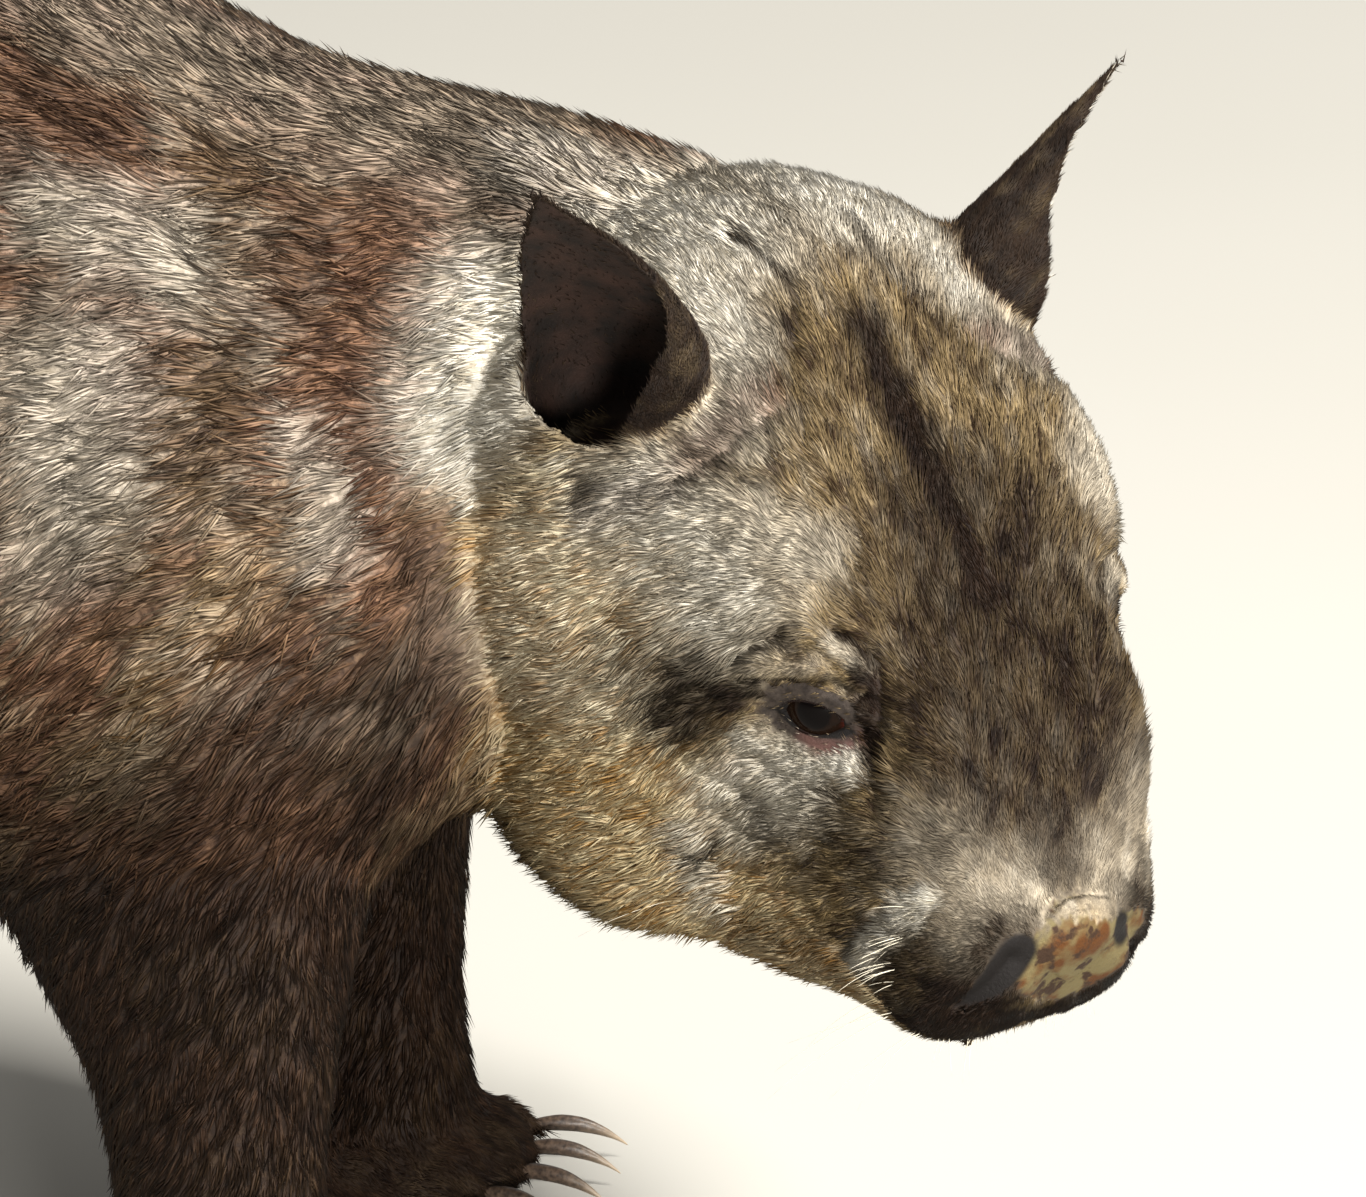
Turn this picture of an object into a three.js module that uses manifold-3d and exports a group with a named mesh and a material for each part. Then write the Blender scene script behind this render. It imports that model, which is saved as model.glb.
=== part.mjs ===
// A life-size southern hairy-nosed wombat, standing with its head lowered and turned to its right.
// It is drawn in the animal's own frame, in millimetres: x forward, y left, z up, on the floor z = 0.
// At the end the whole animal is turned to face -Y and centred on its own floor plan.
//
// The flesh is drawn as skins over lists of rounded masses that melt into each other, such as the
// barrel, the haunches and the cheeks, and it reaches out to the tips of the short coat.
import * as THREE from 'three';
import { mergeVertices } from 'three/addons/utils/BufferGeometryUtils.js';
import Module from 'manifold-3d';

const wasm = await Module();
wasm.setup();

// Driving dimensions of the body
const BACK_HEIGHT = 326;
const BELLY_CLEARANCE = 86;
const BARREL_WIDTH = 292;
const TRUNK_REAR = -345;
const FORE_FEET = { x: 174, y: 74, stride: -12 };
const HIND_FEET = { x: -232, y: 92, stride: 10 };
const TAIL_LENGTH = 30;

// The head's own frame starts between the ears. It is turned to the right, nodded and tipped.
const HEAD_AT = new THREE.Vector3(290, 0, 216);
const HEAD_TURN = -30.3;
const HEAD_NOD = 29.8;
const HEAD_TIP = -1.4;
const NECK_CUT = -60;

// Driving dimensions of the face, for the left side; the right side mirrors it.
const EYE_RADIUS = 11;
const EYE_AT = new THREE.Vector3(60.6, 34.2, 7.8);
const GAZE = new THREE.Vector3(0.45, 0.87, 0.2).normalize();
const LID_THICKNESS = 1.6;
const EYE_OPENING = { length: 19.5, height: 8.6, tilt: 18 };
const EAR_ROOT = new THREE.Vector3(-13, 47, 18);
const EAR_BEND = new THREE.Vector3(-14, 56, 54);
const EAR_TIP = new THREE.Vector3(-31.6, 86.1, 86);
const EAR_HALF_WIDTH = 22.5;
const EAR_DEPTH = 12;
const EAR_WALL = 2.4;
const EAR_TURN = { left: -24, right: 0 };
const MOUTH_CORNER = new THREE.Vector3(99, 36, -43);
const MOUTH_FRONT = new THREE.Vector3(124, 0, -51);
const LIP_RADIUS = 2.1;
const LIP_SUNK = 0.6;
const CLAW = { fore: 20, hind: 15, thickness: 5.6 };

// Neighbouring pieces keep this gap. Masses melt into each other over about these lengths.
const GAP = 0.3;
const BODY_MELT = 14;
const HEAD_MELT = 7;
const SMALL_MELT = 3;

const radians = THREE.MathUtils.degToRad;
const vector = (x, y, z) => new THREE.Vector3(x, y, z);

const headFrame = new THREE.Matrix4()
  .makeRotationFromEuler(new THREE.Euler(radians(HEAD_TIP), radians(HEAD_NOD), radians(HEAD_TURN), 'ZYX'))
  .setPosition(HEAD_AT);
const bodyFrame = new THREE.Matrix4();
const mirror = new THREE.Matrix4().makeScale(1, -1, 1);
const SIDES = ['left', 'right'];
const onSide = (frame, side) => (side === 'left' ? frame : frame.clone().multiply(mirror));

// Solids from geometry

function solid(geometry, frame = bodyFrame) {
  const bare = geometry.clone().applyMatrix4(frame);
  bare.deleteAttribute('normal');
  bare.deleteAttribute('uv');
  const merged = mergeVertices(bare, 1e-4);
  const triVerts = new Uint32Array(merged.index.array);
  if (frame.determinant() < 0) {
    for (let i = 0; i < triVerts.length; i += 3) {
      [triVerts[i], triVerts[i + 1]] = [triVerts[i + 1], triVerts[i]];
    }
  }
  const vertProperties = new Float32Array(merged.attributes.position.array);
  return new wasm.Manifold(new wasm.Mesh({ numProp: 3, vertProperties, triVerts }));
}

function geometryOf(made) {
  const mesh = made.getMesh();
  const geometry = new THREE.BufferGeometry();
  geometry.setAttribute('position', new THREE.BufferAttribute(new Float32Array(mesh.vertProperties), 3));
  geometry.setIndex(new THREE.BufferAttribute(new Uint32Array(mesh.triVerts), 1));
  geometry.computeVertexNormals();
  return geometry;
}

const joined = (solids) => solids.reduce((sum, next) => sum.add(next));
const without = (made, solids) => solids.reduce((rest, next) => rest.subtract(next), made);

function largestBody(made) {
  const bodies = made.decompose();
  bodies.sort((a, b) => b.volume() - a.volume());
  return bodies[0];
}

// A large block with one face on a plane, filling the side that the normal points to.
const BLOCK = 1200;
function halfSpace(point, normal, frame = bodyFrame) {
  const block = new THREE.BoxGeometry(BLOCK, BLOCK, BLOCK);
  block.translate(0, 0, BLOCK / 2);
  block.applyQuaternion(new THREE.Quaternion().setFromUnitVectors(vector(0, 0, 1), normal));
  block.translate(point.x, point.y, point.z);
  return solid(block, frame);
}

// Rounded masses: a centre, three half-sizes and a turn about x, y and z in degrees

function mass(at, half, turn = [0, 0, 0]) {
  const angles = new THREE.Euler(...turn.map(radians), 'ZYX');
  return { at: vector(...at), half: vector(...half), turn: new THREE.Quaternion().setFromEuler(angles) };
}

function pair(at, half, turn = [0, 0, 0]) {
  return [1, -1].map((side) => mass(
    [at[0], side * at[1], at[2]],
    half,
    [side * turn[0], turn[1], side * turn[2]],
  ));
}

function carried(masses, frame) {
  const turn = new THREE.Quaternion().setFromRotationMatrix(frame);
  return masses.map((one) => ({
    at: one.at.clone().applyMatrix4(frame),
    half: one.half,
    turn: turn.clone().multiply(one.turn),
  }));
}

// How far a point lies outside one mass, or outside all of them melted together; negative inside.
function distanceToMass(point, { at, half, turn }) {
  const scaled = point.clone().sub(at).applyQuaternion(turn.clone().conjugate()).divide(half);
  const reach = scaled.length();
  const slope = scaled.divide(half).length();
  return slope > 0 ? reach * (reach - 1) / slope : -Math.min(half.x, half.y, half.z);
}

function distanceToFlesh(point, { masses, melt }) {
  const nearness = masses.map((one) => Math.exp(-distanceToMass(point, one) / melt));
  return -melt * Math.log(nearness.reduce((sum, next) => sum + next));
}

// Where a ray from inside the flesh leaves it, found by walking outwards and halving the last step.
const RAY_REACH = 240;
const RAY_STEP = 5;
const HALVINGS = 14;
function surfacePoint(flesh, from, direction, grow = 0) {
  const at = (reach) => from.clone().addScaledVector(direction, reach);
  const isOutside = (reach) => distanceToFlesh(at(reach), flesh) > grow;
  let inside = 0;
  let outside = RAY_STEP;
  while (outside < RAY_REACH && !isOutside(outside)) {
    inside = outside;
    outside += RAY_STEP;
  }
  for (let halving = 0; halving < HALVINGS; halving += 1) {
    const middle = (inside + outside) / 2;
    if (isOutside(middle)) {
      outside = middle;
    } else {
      inside = middle;
    }
  }
  return at(outside);
}

// A skin over the flesh: a sphere's rings are strung along a spine, with a fan of rays at each end.
function skin(flesh, spinePoints, { around, along, grow = 0, ends = 0.2, upright = vector(0, 0, 1) }) {
  const spine = new THREE.CatmullRomCurve3(spinePoints);
  const sphere = new THREE.SphereGeometry(1, around, along);
  const position = sphere.attributes.position;
  for (let i = 0; i < position.count; i += 1) {
    const fromFront = Math.acos(THREE.MathUtils.clamp(position.getY(i), -1, 1)) / Math.PI;
    const fromRear = 1 - fromFront;
    const share = THREE.MathUtils.clamp((fromRear - ends) / (1 - 2 * ends), 0, 1);
    const frontLean = 90 * Math.min(fromFront / ends, 1);
    const rearLean = 90 * Math.min(fromRear / ends, 1);
    const lean = radians(fromFront < 0.5 ? frontLean : 180 - rearLean);
    const forward = spine.getTangentAt(share);
    const right = forward.clone().cross(upright).normalize();
    const above = right.clone().cross(forward);
    const isPole = fromFront < 1e-6 || fromRear < 1e-6;
    const turn = Math.atan2(position.getZ(i), position.getX(i));
    const across = isPole ? 0 : Math.sin(lean);
    const ray = forward.multiplyScalar(Math.cos(lean))
      .addScaledVector(right, across * Math.cos(turn))
      .addScaledVector(above, across * Math.sin(turn));
    const found = surfacePoint(flesh, spine.getPointAt(share), ray, grow);
    position.setXYZ(i, found.x, found.y, found.z);
  }
  return sphere;
}

// A value that passes smoothly through evenly spaced stations.
function profile(values) {
  const curve = new THREE.SplineCurve(values.map((value, i) => new THREE.Vector2(i, value)));
  return (share) => curve.getPoint(share).y;
}

// A rod along a curve, its radius given by a profile, flattened across by a factor.
function rod(points, radiusAt, { around = 10, along = 10, flat = 1, grow = 0 } = {}) {
  const curve = new THREE.CatmullRomCurve3(points);
  const upright = vector(0, 0, 1);
  const sphere = new THREE.SphereGeometry(1, around, along);
  const position = sphere.attributes.position;
  for (let i = 0; i < position.count; i += 1) {
    const height = THREE.MathUtils.clamp(position.getY(i), -1, 1);
    const share = Math.acos(-height) / Math.PI;
    const forward = curve.getTangentAt(share);
    const side = forward.clone().cross(upright).normalize();
    const above = side.clone().cross(forward);
    const found = curve.getPointAt(share)
      .addScaledVector(forward, height * grow)
      .addScaledVector(side, position.getX(i) * (radiusAt(share) * flat + grow))
      .addScaledVector(above, position.getZ(i) * (radiusAt(share) + grow));
    position.setXYZ(i, found.x, found.y, found.z);
  }
  return sphere;
}

// Trunk, neck and head

const midHeight = (BACK_HEIGHT + BELLY_CLEARANCE) / 2;
const halfBarrel = BARREL_WIDTH / 2;
const trunkMasses = [
  mass([-40, 0, midHeight], [225, halfBarrel - 8, 117]),
  mass([TRUNK_REAR + 130, 0, midHeight + 6], [120, halfBarrel - 26, 106]),
  mass([96, 0, midHeight + 15], [104, halfBarrel - 44, 104]),
  ...pair([176, 58, 176], [60, 50, 76], [0, 12, 0]),
  ...pair([HIND_FEET.x + 8, 66, 162], [84, 56, 76]),
];
const neckMasses = [
  mass([200, 8, 219], [71, 56, 82]),
];
const napeMasses = [
  mass([-51, 0, -7], [45, 52, 49]),
];
const headMasses = [
  mass([-21, 0, 11], [49, 71, 49]),
  ...pair([24.5, 30, 16], [40, 32, 31], [0, 14, 0]),
  mass([60, 0, -8], [62, 30, 33], [0, 27, 0]),
  ...pair([0, 38, -15], [52, 39, 38]),
  ...pair([17, 41, -57], [43, 23, 31]),
  ...pair([51, 20, -49], [43, 22, 24], [0, -4, 0]),
  ...pair([71, 25.5, -8], [32, 17, 31]),
  mass([95, 0, -32], [24, 29, 26]),
  ...pair([113, 18, -29.5], [12, 15, 18]),
];
const trunkFlesh = {
  masses: [...trunkMasses, ...neckMasses, ...carried(napeMasses, headFrame)],
  melt: BODY_MELT,
};
const headFlesh = { masses: [...headMasses, ...napeMasses], melt: HEAD_MELT };

const trunkSpine = [
  vector(TRUNK_REAR + 95, 0, midHeight + 6),
  vector(-140, 0, midHeight - 2),
  vector(0, 0, midHeight - 4),
  vector(130, 0, midHeight),
  vector(208, 6, midHeight + 6),
  vector(-44, 4, -7).applyMatrix4(headFrame),
];
const headSpine = [vector(-40, 0, -8), vector(10, 0, -14), vector(60, 0, -22), vector(98, 0, -30)];

const trunkSkin = (grow) => solid(skin(trunkFlesh, trunkSpine, { around: 32, along: 30, grow }));
const headSide = (grow) => halfSpace(vector(NECK_CUT - grow, 0, 0), vector(1, 0, 0), headFrame);
const headSkin = (grow) => solid(skin(headFlesh, headSpine, { around: 38, along: 32, grow }), headFrame)
  .intersect(headSide(grow));

// The neck starts at a sloping plane in front of the shoulders.
const SHOULDER_AT = vector(226, 0, 226);
const SHOULDER_NORMAL = vector(0.92, -0.1, 0.38).normalize();
function neckSide(distance) {
  return halfSpace(SHOULDER_AT.clone().addScaledVector(SHOULDER_NORMAL, distance), SHOULDER_NORMAL);
}

// Eyes: a ball in a socket, covered by a dome of lid with an almond opening

const eyeAcross = vector(0, 0, 1).cross(GAZE).multiplyScalar(-1).normalize()
  .applyAxisAngle(GAZE, radians(-EYE_OPENING.tilt));
const eyeUp = eyeAcross.clone().cross(GAZE).multiplyScalar(-1);
const ball = (radius) => new THREE.SphereGeometry(radius, 18, 12).translate(EYE_AT.x, EYE_AT.y, EYE_AT.z);

function eyeOpening() {
  const { length, height } = EYE_OPENING;
  const rise = height / 2;
  const reach = (length * length / 4 - rise * rise) / (2 * rise);
  const radius = reach + rise;
  const half = Math.asin(length / 2 / radius);
  const almond = new THREE.Shape();
  almond.absarc(0, -reach, radius, Math.PI / 2 - half, Math.PI / 2 + half, false);
  almond.absarc(0, reach, radius, -Math.PI / 2 - half, -Math.PI / 2 + half, false);
  const prism = new THREE.ExtrudeGeometry(almond, { depth: 30, bevelEnabled: false, curveSegments: 6 });
  const turn = new THREE.Matrix4().makeBasis(eyeAcross, eyeUp, GAZE);
  return prism.applyMatrix4(turn).translate(EYE_AT.x, EYE_AT.y, EYE_AT.z);
}

// Ears: a leaf-shaped cup that opens sideways. Its walls wrap round to meet at the root, and the head is hollowed
// to take the whole cup. The left ear is swung round on its root, so it is seen on edge from the right.

const EAR_OPENS = vector(0.445, 0.888, -0.12).normalize();
const EAR_FRONT = vector(0.789, -0.325, 0.522);
function ear(grow, side) {
  const midline = new THREE.QuadraticBezierCurve3(EAR_ROOT, EAR_BEND, EAR_TIP);
  const unturned = EAR_FRONT.clone().addScaledVector(EAR_OPENS, -EAR_FRONT.dot(EAR_OPENS)).normalize();
  const upwards = unturned.clone().cross(EAR_OPENS);
  const turn = new THREE.Quaternion().setFromAxisAngle(upwards, radians(EAR_TURN[side]));
  const front = unturned.clone().applyQuaternion(turn);
  const opens = EAR_OPENS.clone().applyQuaternion(turn);
  const widthAt = profile([0.74, 0.95, 1, 0.9, 0.62, 0.07]);
  const depthAt = profile([1.25, 1.35, 1.2, 0.8, 0.45, 0.05]);
  const frontWrapAt = profile([165, 158, 140, 105, 80, 70]);
  const rearWrapAt = profile([165, 120, 100, 90, 80, 70]);
  const leaf = new THREE.BoxGeometry(1, 1, 1, 12, 10, 1);
  const position = leaf.attributes.position;
  for (let i = 0; i < position.count; i += 1) {
    const share = position.getY(i) + 0.5;
    const across = position.getX(i) * 2;
    const isInner = position.getZ(i) < 0;
    const width = EAR_HALF_WIDTH * widthAt(share);
    const depth = EAR_DEPTH * depthAt(share);
    const wall = Math.min(EAR_WALL * (1 - 0.5 * share) * (1 - 0.5 * across ** 4), 0.45 * width, 0.6 * depth);
    const inset = isInner ? wall + grow : -grow;
    const wrap = radians(across * (across > 0 ? frontWrapAt(share) : rearWrapAt(share)));
    const found = midline.getPoint(share)
      .addScaledVector(front, (width - inset) * Math.sin(wrap))
      .addScaledVector(opens, (inset - depth) * Math.cos(wrap));
    position.setXYZ(i, found.x, found.y, found.z);
  }
  return leaf;
}

// Nose pad, nostrils and mouth

const noseFlesh = {
  masses: [
    mass([121, 0, -15], [6.5, 14, 8]),
    mass([121, 0, -27], [5.5, 9, 13]),
    mass([120.5, 0, -37], [4.5, 6, 7]),
  ],
  melt: SMALL_MELT,
};
const noseSpine = [vector(118, 0, -22), vector(120, 0, -23), vector(122, 0, -24)];
const nose = (grow) => skin(noseFlesh, noseSpine, { around: 18, along: 12, grow, ends: 0.35 });
const nostril = () => rod(
  [vector(118, 17, -33), vector(123, 15.5, -24), vector(126, 12.5, -14)],
  profile([3, 5, 3.5]),
  { around: 10, along: 7, flat: 0.8 },
);

// The mouth line is pressed onto the muzzle from a point inside it.
function mouthPoints(rise, side) {
  const inside = vector(92, 0, -36);
  const middle = MOUTH_CORNER.clone().lerp(MOUTH_FRONT, 0.5).add(vector(6, 9, -3));
  const half = new THREE.QuadraticBezierCurve3(MOUTH_CORNER, middle, MOUTH_FRONT);
  return half.getPoints(6).map((point) => {
    const ray = point.clone().setZ(point.z + rise).sub(inside).normalize();
    const found = surfacePoint(headFlesh, inside, ray, -LIP_SUNK);
    return side === 'left' ? found : found.setY(-found.y);
  });
}
const mouthCurve = (rise) => [...mouthPoints(rise, 'left'), ...mouthPoints(rise, 'right').reverse().slice(1)];
const lip = (rise, radius) => rod(mouthCurve(rise), profile([0.3, 0.8, 1, 1, 1, 0.8, 0.3].map((r) => r * radius)), {
  around: 8,
  along: 22,
});

// Legs and feet, drawn for the left side

const foreleg = {
  flesh: {
    masses: [
      mass([158, 70, 146], [47, 33, 66], [0, -12, 0]),
      mass([170, 74, 80], [28, 26, 60]),
      mass([172, FORE_FEET.y, 30], [27, 24, 24]),
    ],
    melt: SMALL_MELT * 2,
  },
  spine: [vector(173, 74, 22), vector(170, 74, 80), vector(160, 72, 144)],
};
const hindleg = {
  flesh: {
    masses: [
      mass([-222, 82, 148], [68, 42, 76]),
      mass([-238, 90, 76], [35, 29, 58], [0, 10, 0]),
      mass([-250, HIND_FEET.y, 32], [31, 25, 26]),
    ],
    melt: SMALL_MELT * 2,
  },
  spine: [vector(-251, 92, 24), vector(-241, 90, 76), vector(-225, 84, 144)],
};
const leg = ({ flesh, spine }, grow) => skin(flesh, spine, {
  around: 18,
  along: 14,
  grow,
  upright: vector(-1, 0, 0),
});

// A foot is a pad with toes fanned out from it, and each clawed toe has its own claw.
const forefoot = {
  pad: [
    mass([FORE_FEET.x + 2, FORE_FEET.y, 13], [30, 27, 15]),
    mass([FORE_FEET.x + 18, FORE_FEET.y, 9], [20, 25, 10]),
  ],
  spine: [FORE_FEET.x - 12, FORE_FEET.x + 3, FORE_FEET.x + 16].map((x) => vector(x, FORE_FEET.y, 10)),
  knuckles: vector(FORE_FEET.x + 18, FORE_FEET.y, 9),
  toes: [-2, -1, 0, 1, 2].map((place) => ({ place, reach: 22 - 2.6 * Math.abs(place), claw: CLAW.fore })),
  toeSpacing: 11,
  fan: 11,
};
const hindfoot = {
  pad: [
    mass([HIND_FEET.x - 26, HIND_FEET.y, 14], [32, 25, 17]),
    mass([HIND_FEET.x + 12, HIND_FEET.y, 10], [38, 27, 12]),
  ],
  spine: [HIND_FEET.x - 34, HIND_FEET.x - 8, HIND_FEET.x + 28].map((x) => vector(x, HIND_FEET.y, 10)),
  knuckles: vector(HIND_FEET.x + 34, HIND_FEET.y, 9),
  toes: [-1.5, -0.5, 0.5, 1.5].map((place) => ({ place, reach: 20 - 2 * Math.abs(place), claw: CLAW.hind })),
  toeSpacing: 11.5,
  fan: 7,
};

function toeLine({ knuckles, toeSpacing, fan }, { place, reach }) {
  const root = knuckles.clone().add(vector(0, place * toeSpacing, 0));
  const out = vector(1, 0, 0).applyAxisAngle(vector(0, 0, 1), radians(place * fan));
  return { root, out, tip: root.clone().addScaledVector(out, reach).setZ(7.5) };
}

function foot(kind, grow) {
  const pad = skin({ masses: kind.pad, melt: SMALL_MELT }, kind.spine, {
    around: 18,
    along: 12,
    grow,
    ends: 0.3,
  });
  const toes = kind.toes.map((toe) => {
    const { root, out, tip } = toeLine(kind, toe);
    return rod([root.clone().addScaledVector(out, -10), root.clone().setZ(10), tip], profile([6, 8, 7.2, 5.4]), {
      around: 8,
      along: 6,
      grow,
    });
  });
  return [pad, ...toes];
}

function claw(kind, toe) {
  const { out, tip } = toeLine(kind, toe);
  const points = [[-6, 0.5], [0.3, 2.2], [0.75, -1.2], [1, -5.4]].map(([share, rise], i) => tip.clone()
    .addScaledVector(out, i === 0 ? share : share * toe.claw)
    .setZ(tip.z + rise));
  return rod(points, profile([0.8, 1, 0.85, 0.5, 0.12].map((r) => r * CLAW.thickness / 2)), {
    around: 6,
    along: 6,
    flat: 0.8,
  });
}

// Tail

const tailLine = [
  vector(TRUNK_REAR + 14, 0, 232),
  vector(TRUNK_REAR - 2, 0, 224),
  vector(TRUNK_REAR + 16 - TAIL_LENGTH, 0, 210),
];
const tail = (grow) => rod(tailLine, profile([8, 9, 7, 4]), { around: 10, along: 6, grow });

// Assembly

const coatGrey = new THREE.MeshStandardMaterial({ color: '#8d8072', roughness: 0.9, metalness: 0 });
const coatBrown = new THREE.MeshStandardMaterial({ color: '#6f5a48', roughness: 0.9, metalness: 0 });
const coatDark = new THREE.MeshStandardMaterial({ color: '#4a3d34', roughness: 0.9, metalness: 0 });
const earSkin = new THREE.MeshStandardMaterial({ color: '#3b2f2a', roughness: 0.75, metalness: 0 });
const noseCream = new THREE.MeshStandardMaterial({ color: '#b9a27c', roughness: 0.8, metalness: 0 });
const eyeBrown = new THREE.MeshStandardMaterial({ color: '#120d0a', roughness: 0.08, metalness: 0 });
const clawHorn = new THREE.MeshStandardMaterial({ color: '#4b4038', roughness: 0.45, metalness: 0 });

const animal = new THREE.Group();
function add(name, made, material) {
  const mesh = new THREE.Mesh(geometryOf(largestBody(made)), material);
  mesh.name = name;
  animal.add(mesh);
}

const grownTrunk = trunkSkin(GAP);
const earRooms = SIDES.map((side) => solid(ear(GAP, side), onSide(headFrame, side)).hull());
const grownHead = headSkin(GAP);
const roundEars = [without(grownHead, earRooms), grownTrunk.subtract(headSkin(0))];
const plainTrunk = trunkSkin(0);
add('torso', without(plainTrunk, [neckSide(0), grownHead]), coatBrown);
add('neck', without(plainTrunk.intersect(neckSide(GAP)), [grownHead]), coatBrown);

const lidDomes = SIDES.map((side) => solid(ball(EYE_RADIUS + LID_THICKNESS), onSide(headFrame, side)));
const lips = [solid(lip(3.2, LIP_RADIUS), headFrame), solid(lip(-3.4, LIP_RADIUS * 0.85), headFrame)];
const faceCuts = [
  ...earRooms,
  solid(nose(GAP), headFrame),
  solid(lip(0, 1.1), headFrame),
  ...SIDES.flatMap((side) => [
    solid(ball(EYE_RADIUS + GAP), onSide(headFrame, side)),
    solid(eyeOpening(), onSide(headFrame, side)),
    solid(nostril(), onSide(headFrame, side)),
  ]),
];
add('head', without(joined([headSkin(0), ...lidDomes, ...lips]), faceCuts), coatGrey);
const nostrils = SIDES.map((side) => solid(nostril(), onSide(headFrame, side)));
add('nose', without(solid(nose(0), headFrame), nostrils), noseCream);

const floor = halfSpace(vector(0, 0, 0), vector(0, 0, -1));
const grownBody = [grownTrunk, grownHead];
add('tail', without(solid(tail(0)), [grownTrunk]), coatDark);
SIDES.forEach((side) => {
  add(`eye_${side}`, solid(ball(EYE_RADIUS), onSide(headFrame, side)), eyeBrown);
  const wholeEar = solid(ear(0, side), onSide(headFrame, side)).intersect(headSide(0));
  add(`ear_${side}`, without(wholeEar, roundEars), earSkin);
  [
    ['fore', foreleg, forefoot, FORE_FEET],
    ['hind', hindleg, hindfoot, HIND_FEET],
  ].forEach(([end, legKind, footKind, { stride }]) => {
    const stepped = new THREE.Matrix4().makeTranslation(side === 'left' ? stride : -stride, 0, 0);
    const frame = onSide(stepped, side);
    const grownFoot = foot(footKind, GAP).map((piece) => solid(piece, frame));
    const footSolid = joined(foot(footKind, 0).map((piece) => solid(piece, frame))).subtract(floor);
    add(`${end}leg_${side}`, without(solid(leg(legKind, 0), frame), [...grownFoot, ...grownBody, floor]), coatBrown);
    add(`${end}foot_${side}`, footSolid, coatDark);
    footKind.toes.forEach((toe, i) => {
      const made = without(solid(claw(footKind, toe), frame), grownFoot);
      add(`claw_${end}_${side}_${i + 1}`, made, clawHorn);
    });
  });
});

// The animal faces -Y, and its floor plan is centred on the origin.
const turned = new THREE.Group();
turned.rotation.z = -Math.PI / 2;
turned.add(animal);
const wombat = new THREE.Group();
wombat.add(turned);
const extent = new THREE.Box3().setFromObject(wombat);
const middle = extent.getCenter(vector(0, 0, 0));
wombat.position.set(-middle.x, -middle.y, 0);
export default wombat;
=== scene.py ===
"""Looks of a life-size southern hairy-nosed wombat that stands with its head lowered and turned.

Work is done in millimetres in three frames. The part frame has -Y forward, +X to the animal's left and Z up.
The body frame holds forward, left and up. The head frame holds the same three for the head, from between the
ears. What the two sides share is drawn once, with the distance to the left taken without its sign.
"""

import math

import bmesh
import bpy
import numpy as np
from mathutils import Matrix, Vector
from mathutils.bvhtree import BVHTree


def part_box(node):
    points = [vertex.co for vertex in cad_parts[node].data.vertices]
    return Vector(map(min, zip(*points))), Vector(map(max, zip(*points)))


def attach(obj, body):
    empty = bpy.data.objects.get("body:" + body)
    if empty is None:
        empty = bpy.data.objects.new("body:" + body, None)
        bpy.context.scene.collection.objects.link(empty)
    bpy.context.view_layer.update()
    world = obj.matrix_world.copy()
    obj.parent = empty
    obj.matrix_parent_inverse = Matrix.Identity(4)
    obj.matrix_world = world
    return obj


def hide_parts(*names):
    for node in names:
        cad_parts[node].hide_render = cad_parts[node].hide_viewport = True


MM = 0.001
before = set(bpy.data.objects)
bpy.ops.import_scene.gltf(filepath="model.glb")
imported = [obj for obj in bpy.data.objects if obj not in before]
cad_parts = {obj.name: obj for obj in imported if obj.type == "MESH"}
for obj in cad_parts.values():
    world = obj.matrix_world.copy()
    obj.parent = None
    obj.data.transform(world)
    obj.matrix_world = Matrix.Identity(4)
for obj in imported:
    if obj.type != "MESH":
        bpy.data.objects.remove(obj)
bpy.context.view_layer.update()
chance = np.random.default_rng(41)

# Where the head and body are. The turn, nod and tip of the head are those of the solids.
HEAD_TURN, HEAD_NOD, HEAD_TIP = -30.3, 29.8, -1.4
HEAD_FROM_BODY = np.array([290.0, 0.0, 216.0])
EYE_AT = np.array([60.6, 34.2, 7.8])
EYE_RADIUS = 11.0

FLESH = ["torso", "neck", "head", "nose", "tail"] + [
    f"{part}_{side}"
    for part in ("ear", "foreleg", "forefoot", "hindleg", "hindfoot")
    for side in ("left", "right")
]
KINDS = list(dict.fromkeys(name.split("_")[0] for name in FLESH))
EYES = ["eye_left", "eye_right"]
CLAWS = sorted(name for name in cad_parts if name.startswith("claw"))


def turn_matrix(degrees, axis):
    return np.array(Matrix.Rotation(math.radians(degrees), 3, axis))


def node_middle(name):
    low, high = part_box(name)
    return (np.array(low) + np.array(high)) / 2 / MM


BODY_AXES = turn_matrix(-90, "Z")
HEAD_AXES = BODY_AXES @ turn_matrix(HEAD_TURN, "Z") @ turn_matrix(HEAD_NOD, "Y") @ turn_matrix(HEAD_TIP, "X")
between_eyes = (node_middle("eye_left") + node_middle("eye_right")) / 2
HEAD_AT = between_eyes - HEAD_AXES @ (EYE_AT * [1, 0, 1])
BODY_AT = HEAD_AT - BODY_AXES @ HEAD_FROM_BODY


def to_head(points):
    return (points - HEAD_AT) @ HEAD_AXES


def from_head(points):
    return np.asarray(points, float) @ HEAD_AXES.T + HEAD_AT


def to_body(points):
    return (points - BODY_AT) @ BODY_AXES


def from_body(points):
    return np.asarray(points, float) @ BODY_AXES.T + BODY_AT


def one_side(points):
    """The same points with both sides of the animal laid on its left."""
    folded = points.copy()
    folded[:, 1] = np.abs(folded[:, 1])
    return folded


def laid_left(points):
    """The points in the head frame, all laid on the left side, and the factors that lay them there."""
    places = to_head(points)
    mirror = np.ones_like(places)
    mirror[places[:, 1] < 0, 1] = -1
    return places * mirror, mirror


# Numbers in rows

def unit(rows):
    return rows / np.maximum(np.linalg.norm(rows, axis=-1, keepdims=True), 1e-9)


def smoothstep(low, high, value):
    share = np.clip((value - low) / (high - low), 0, 1)
    return share * share * (3 - 2 * share)


def mix(a, b, share):
    return a + (b - a) * share


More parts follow.
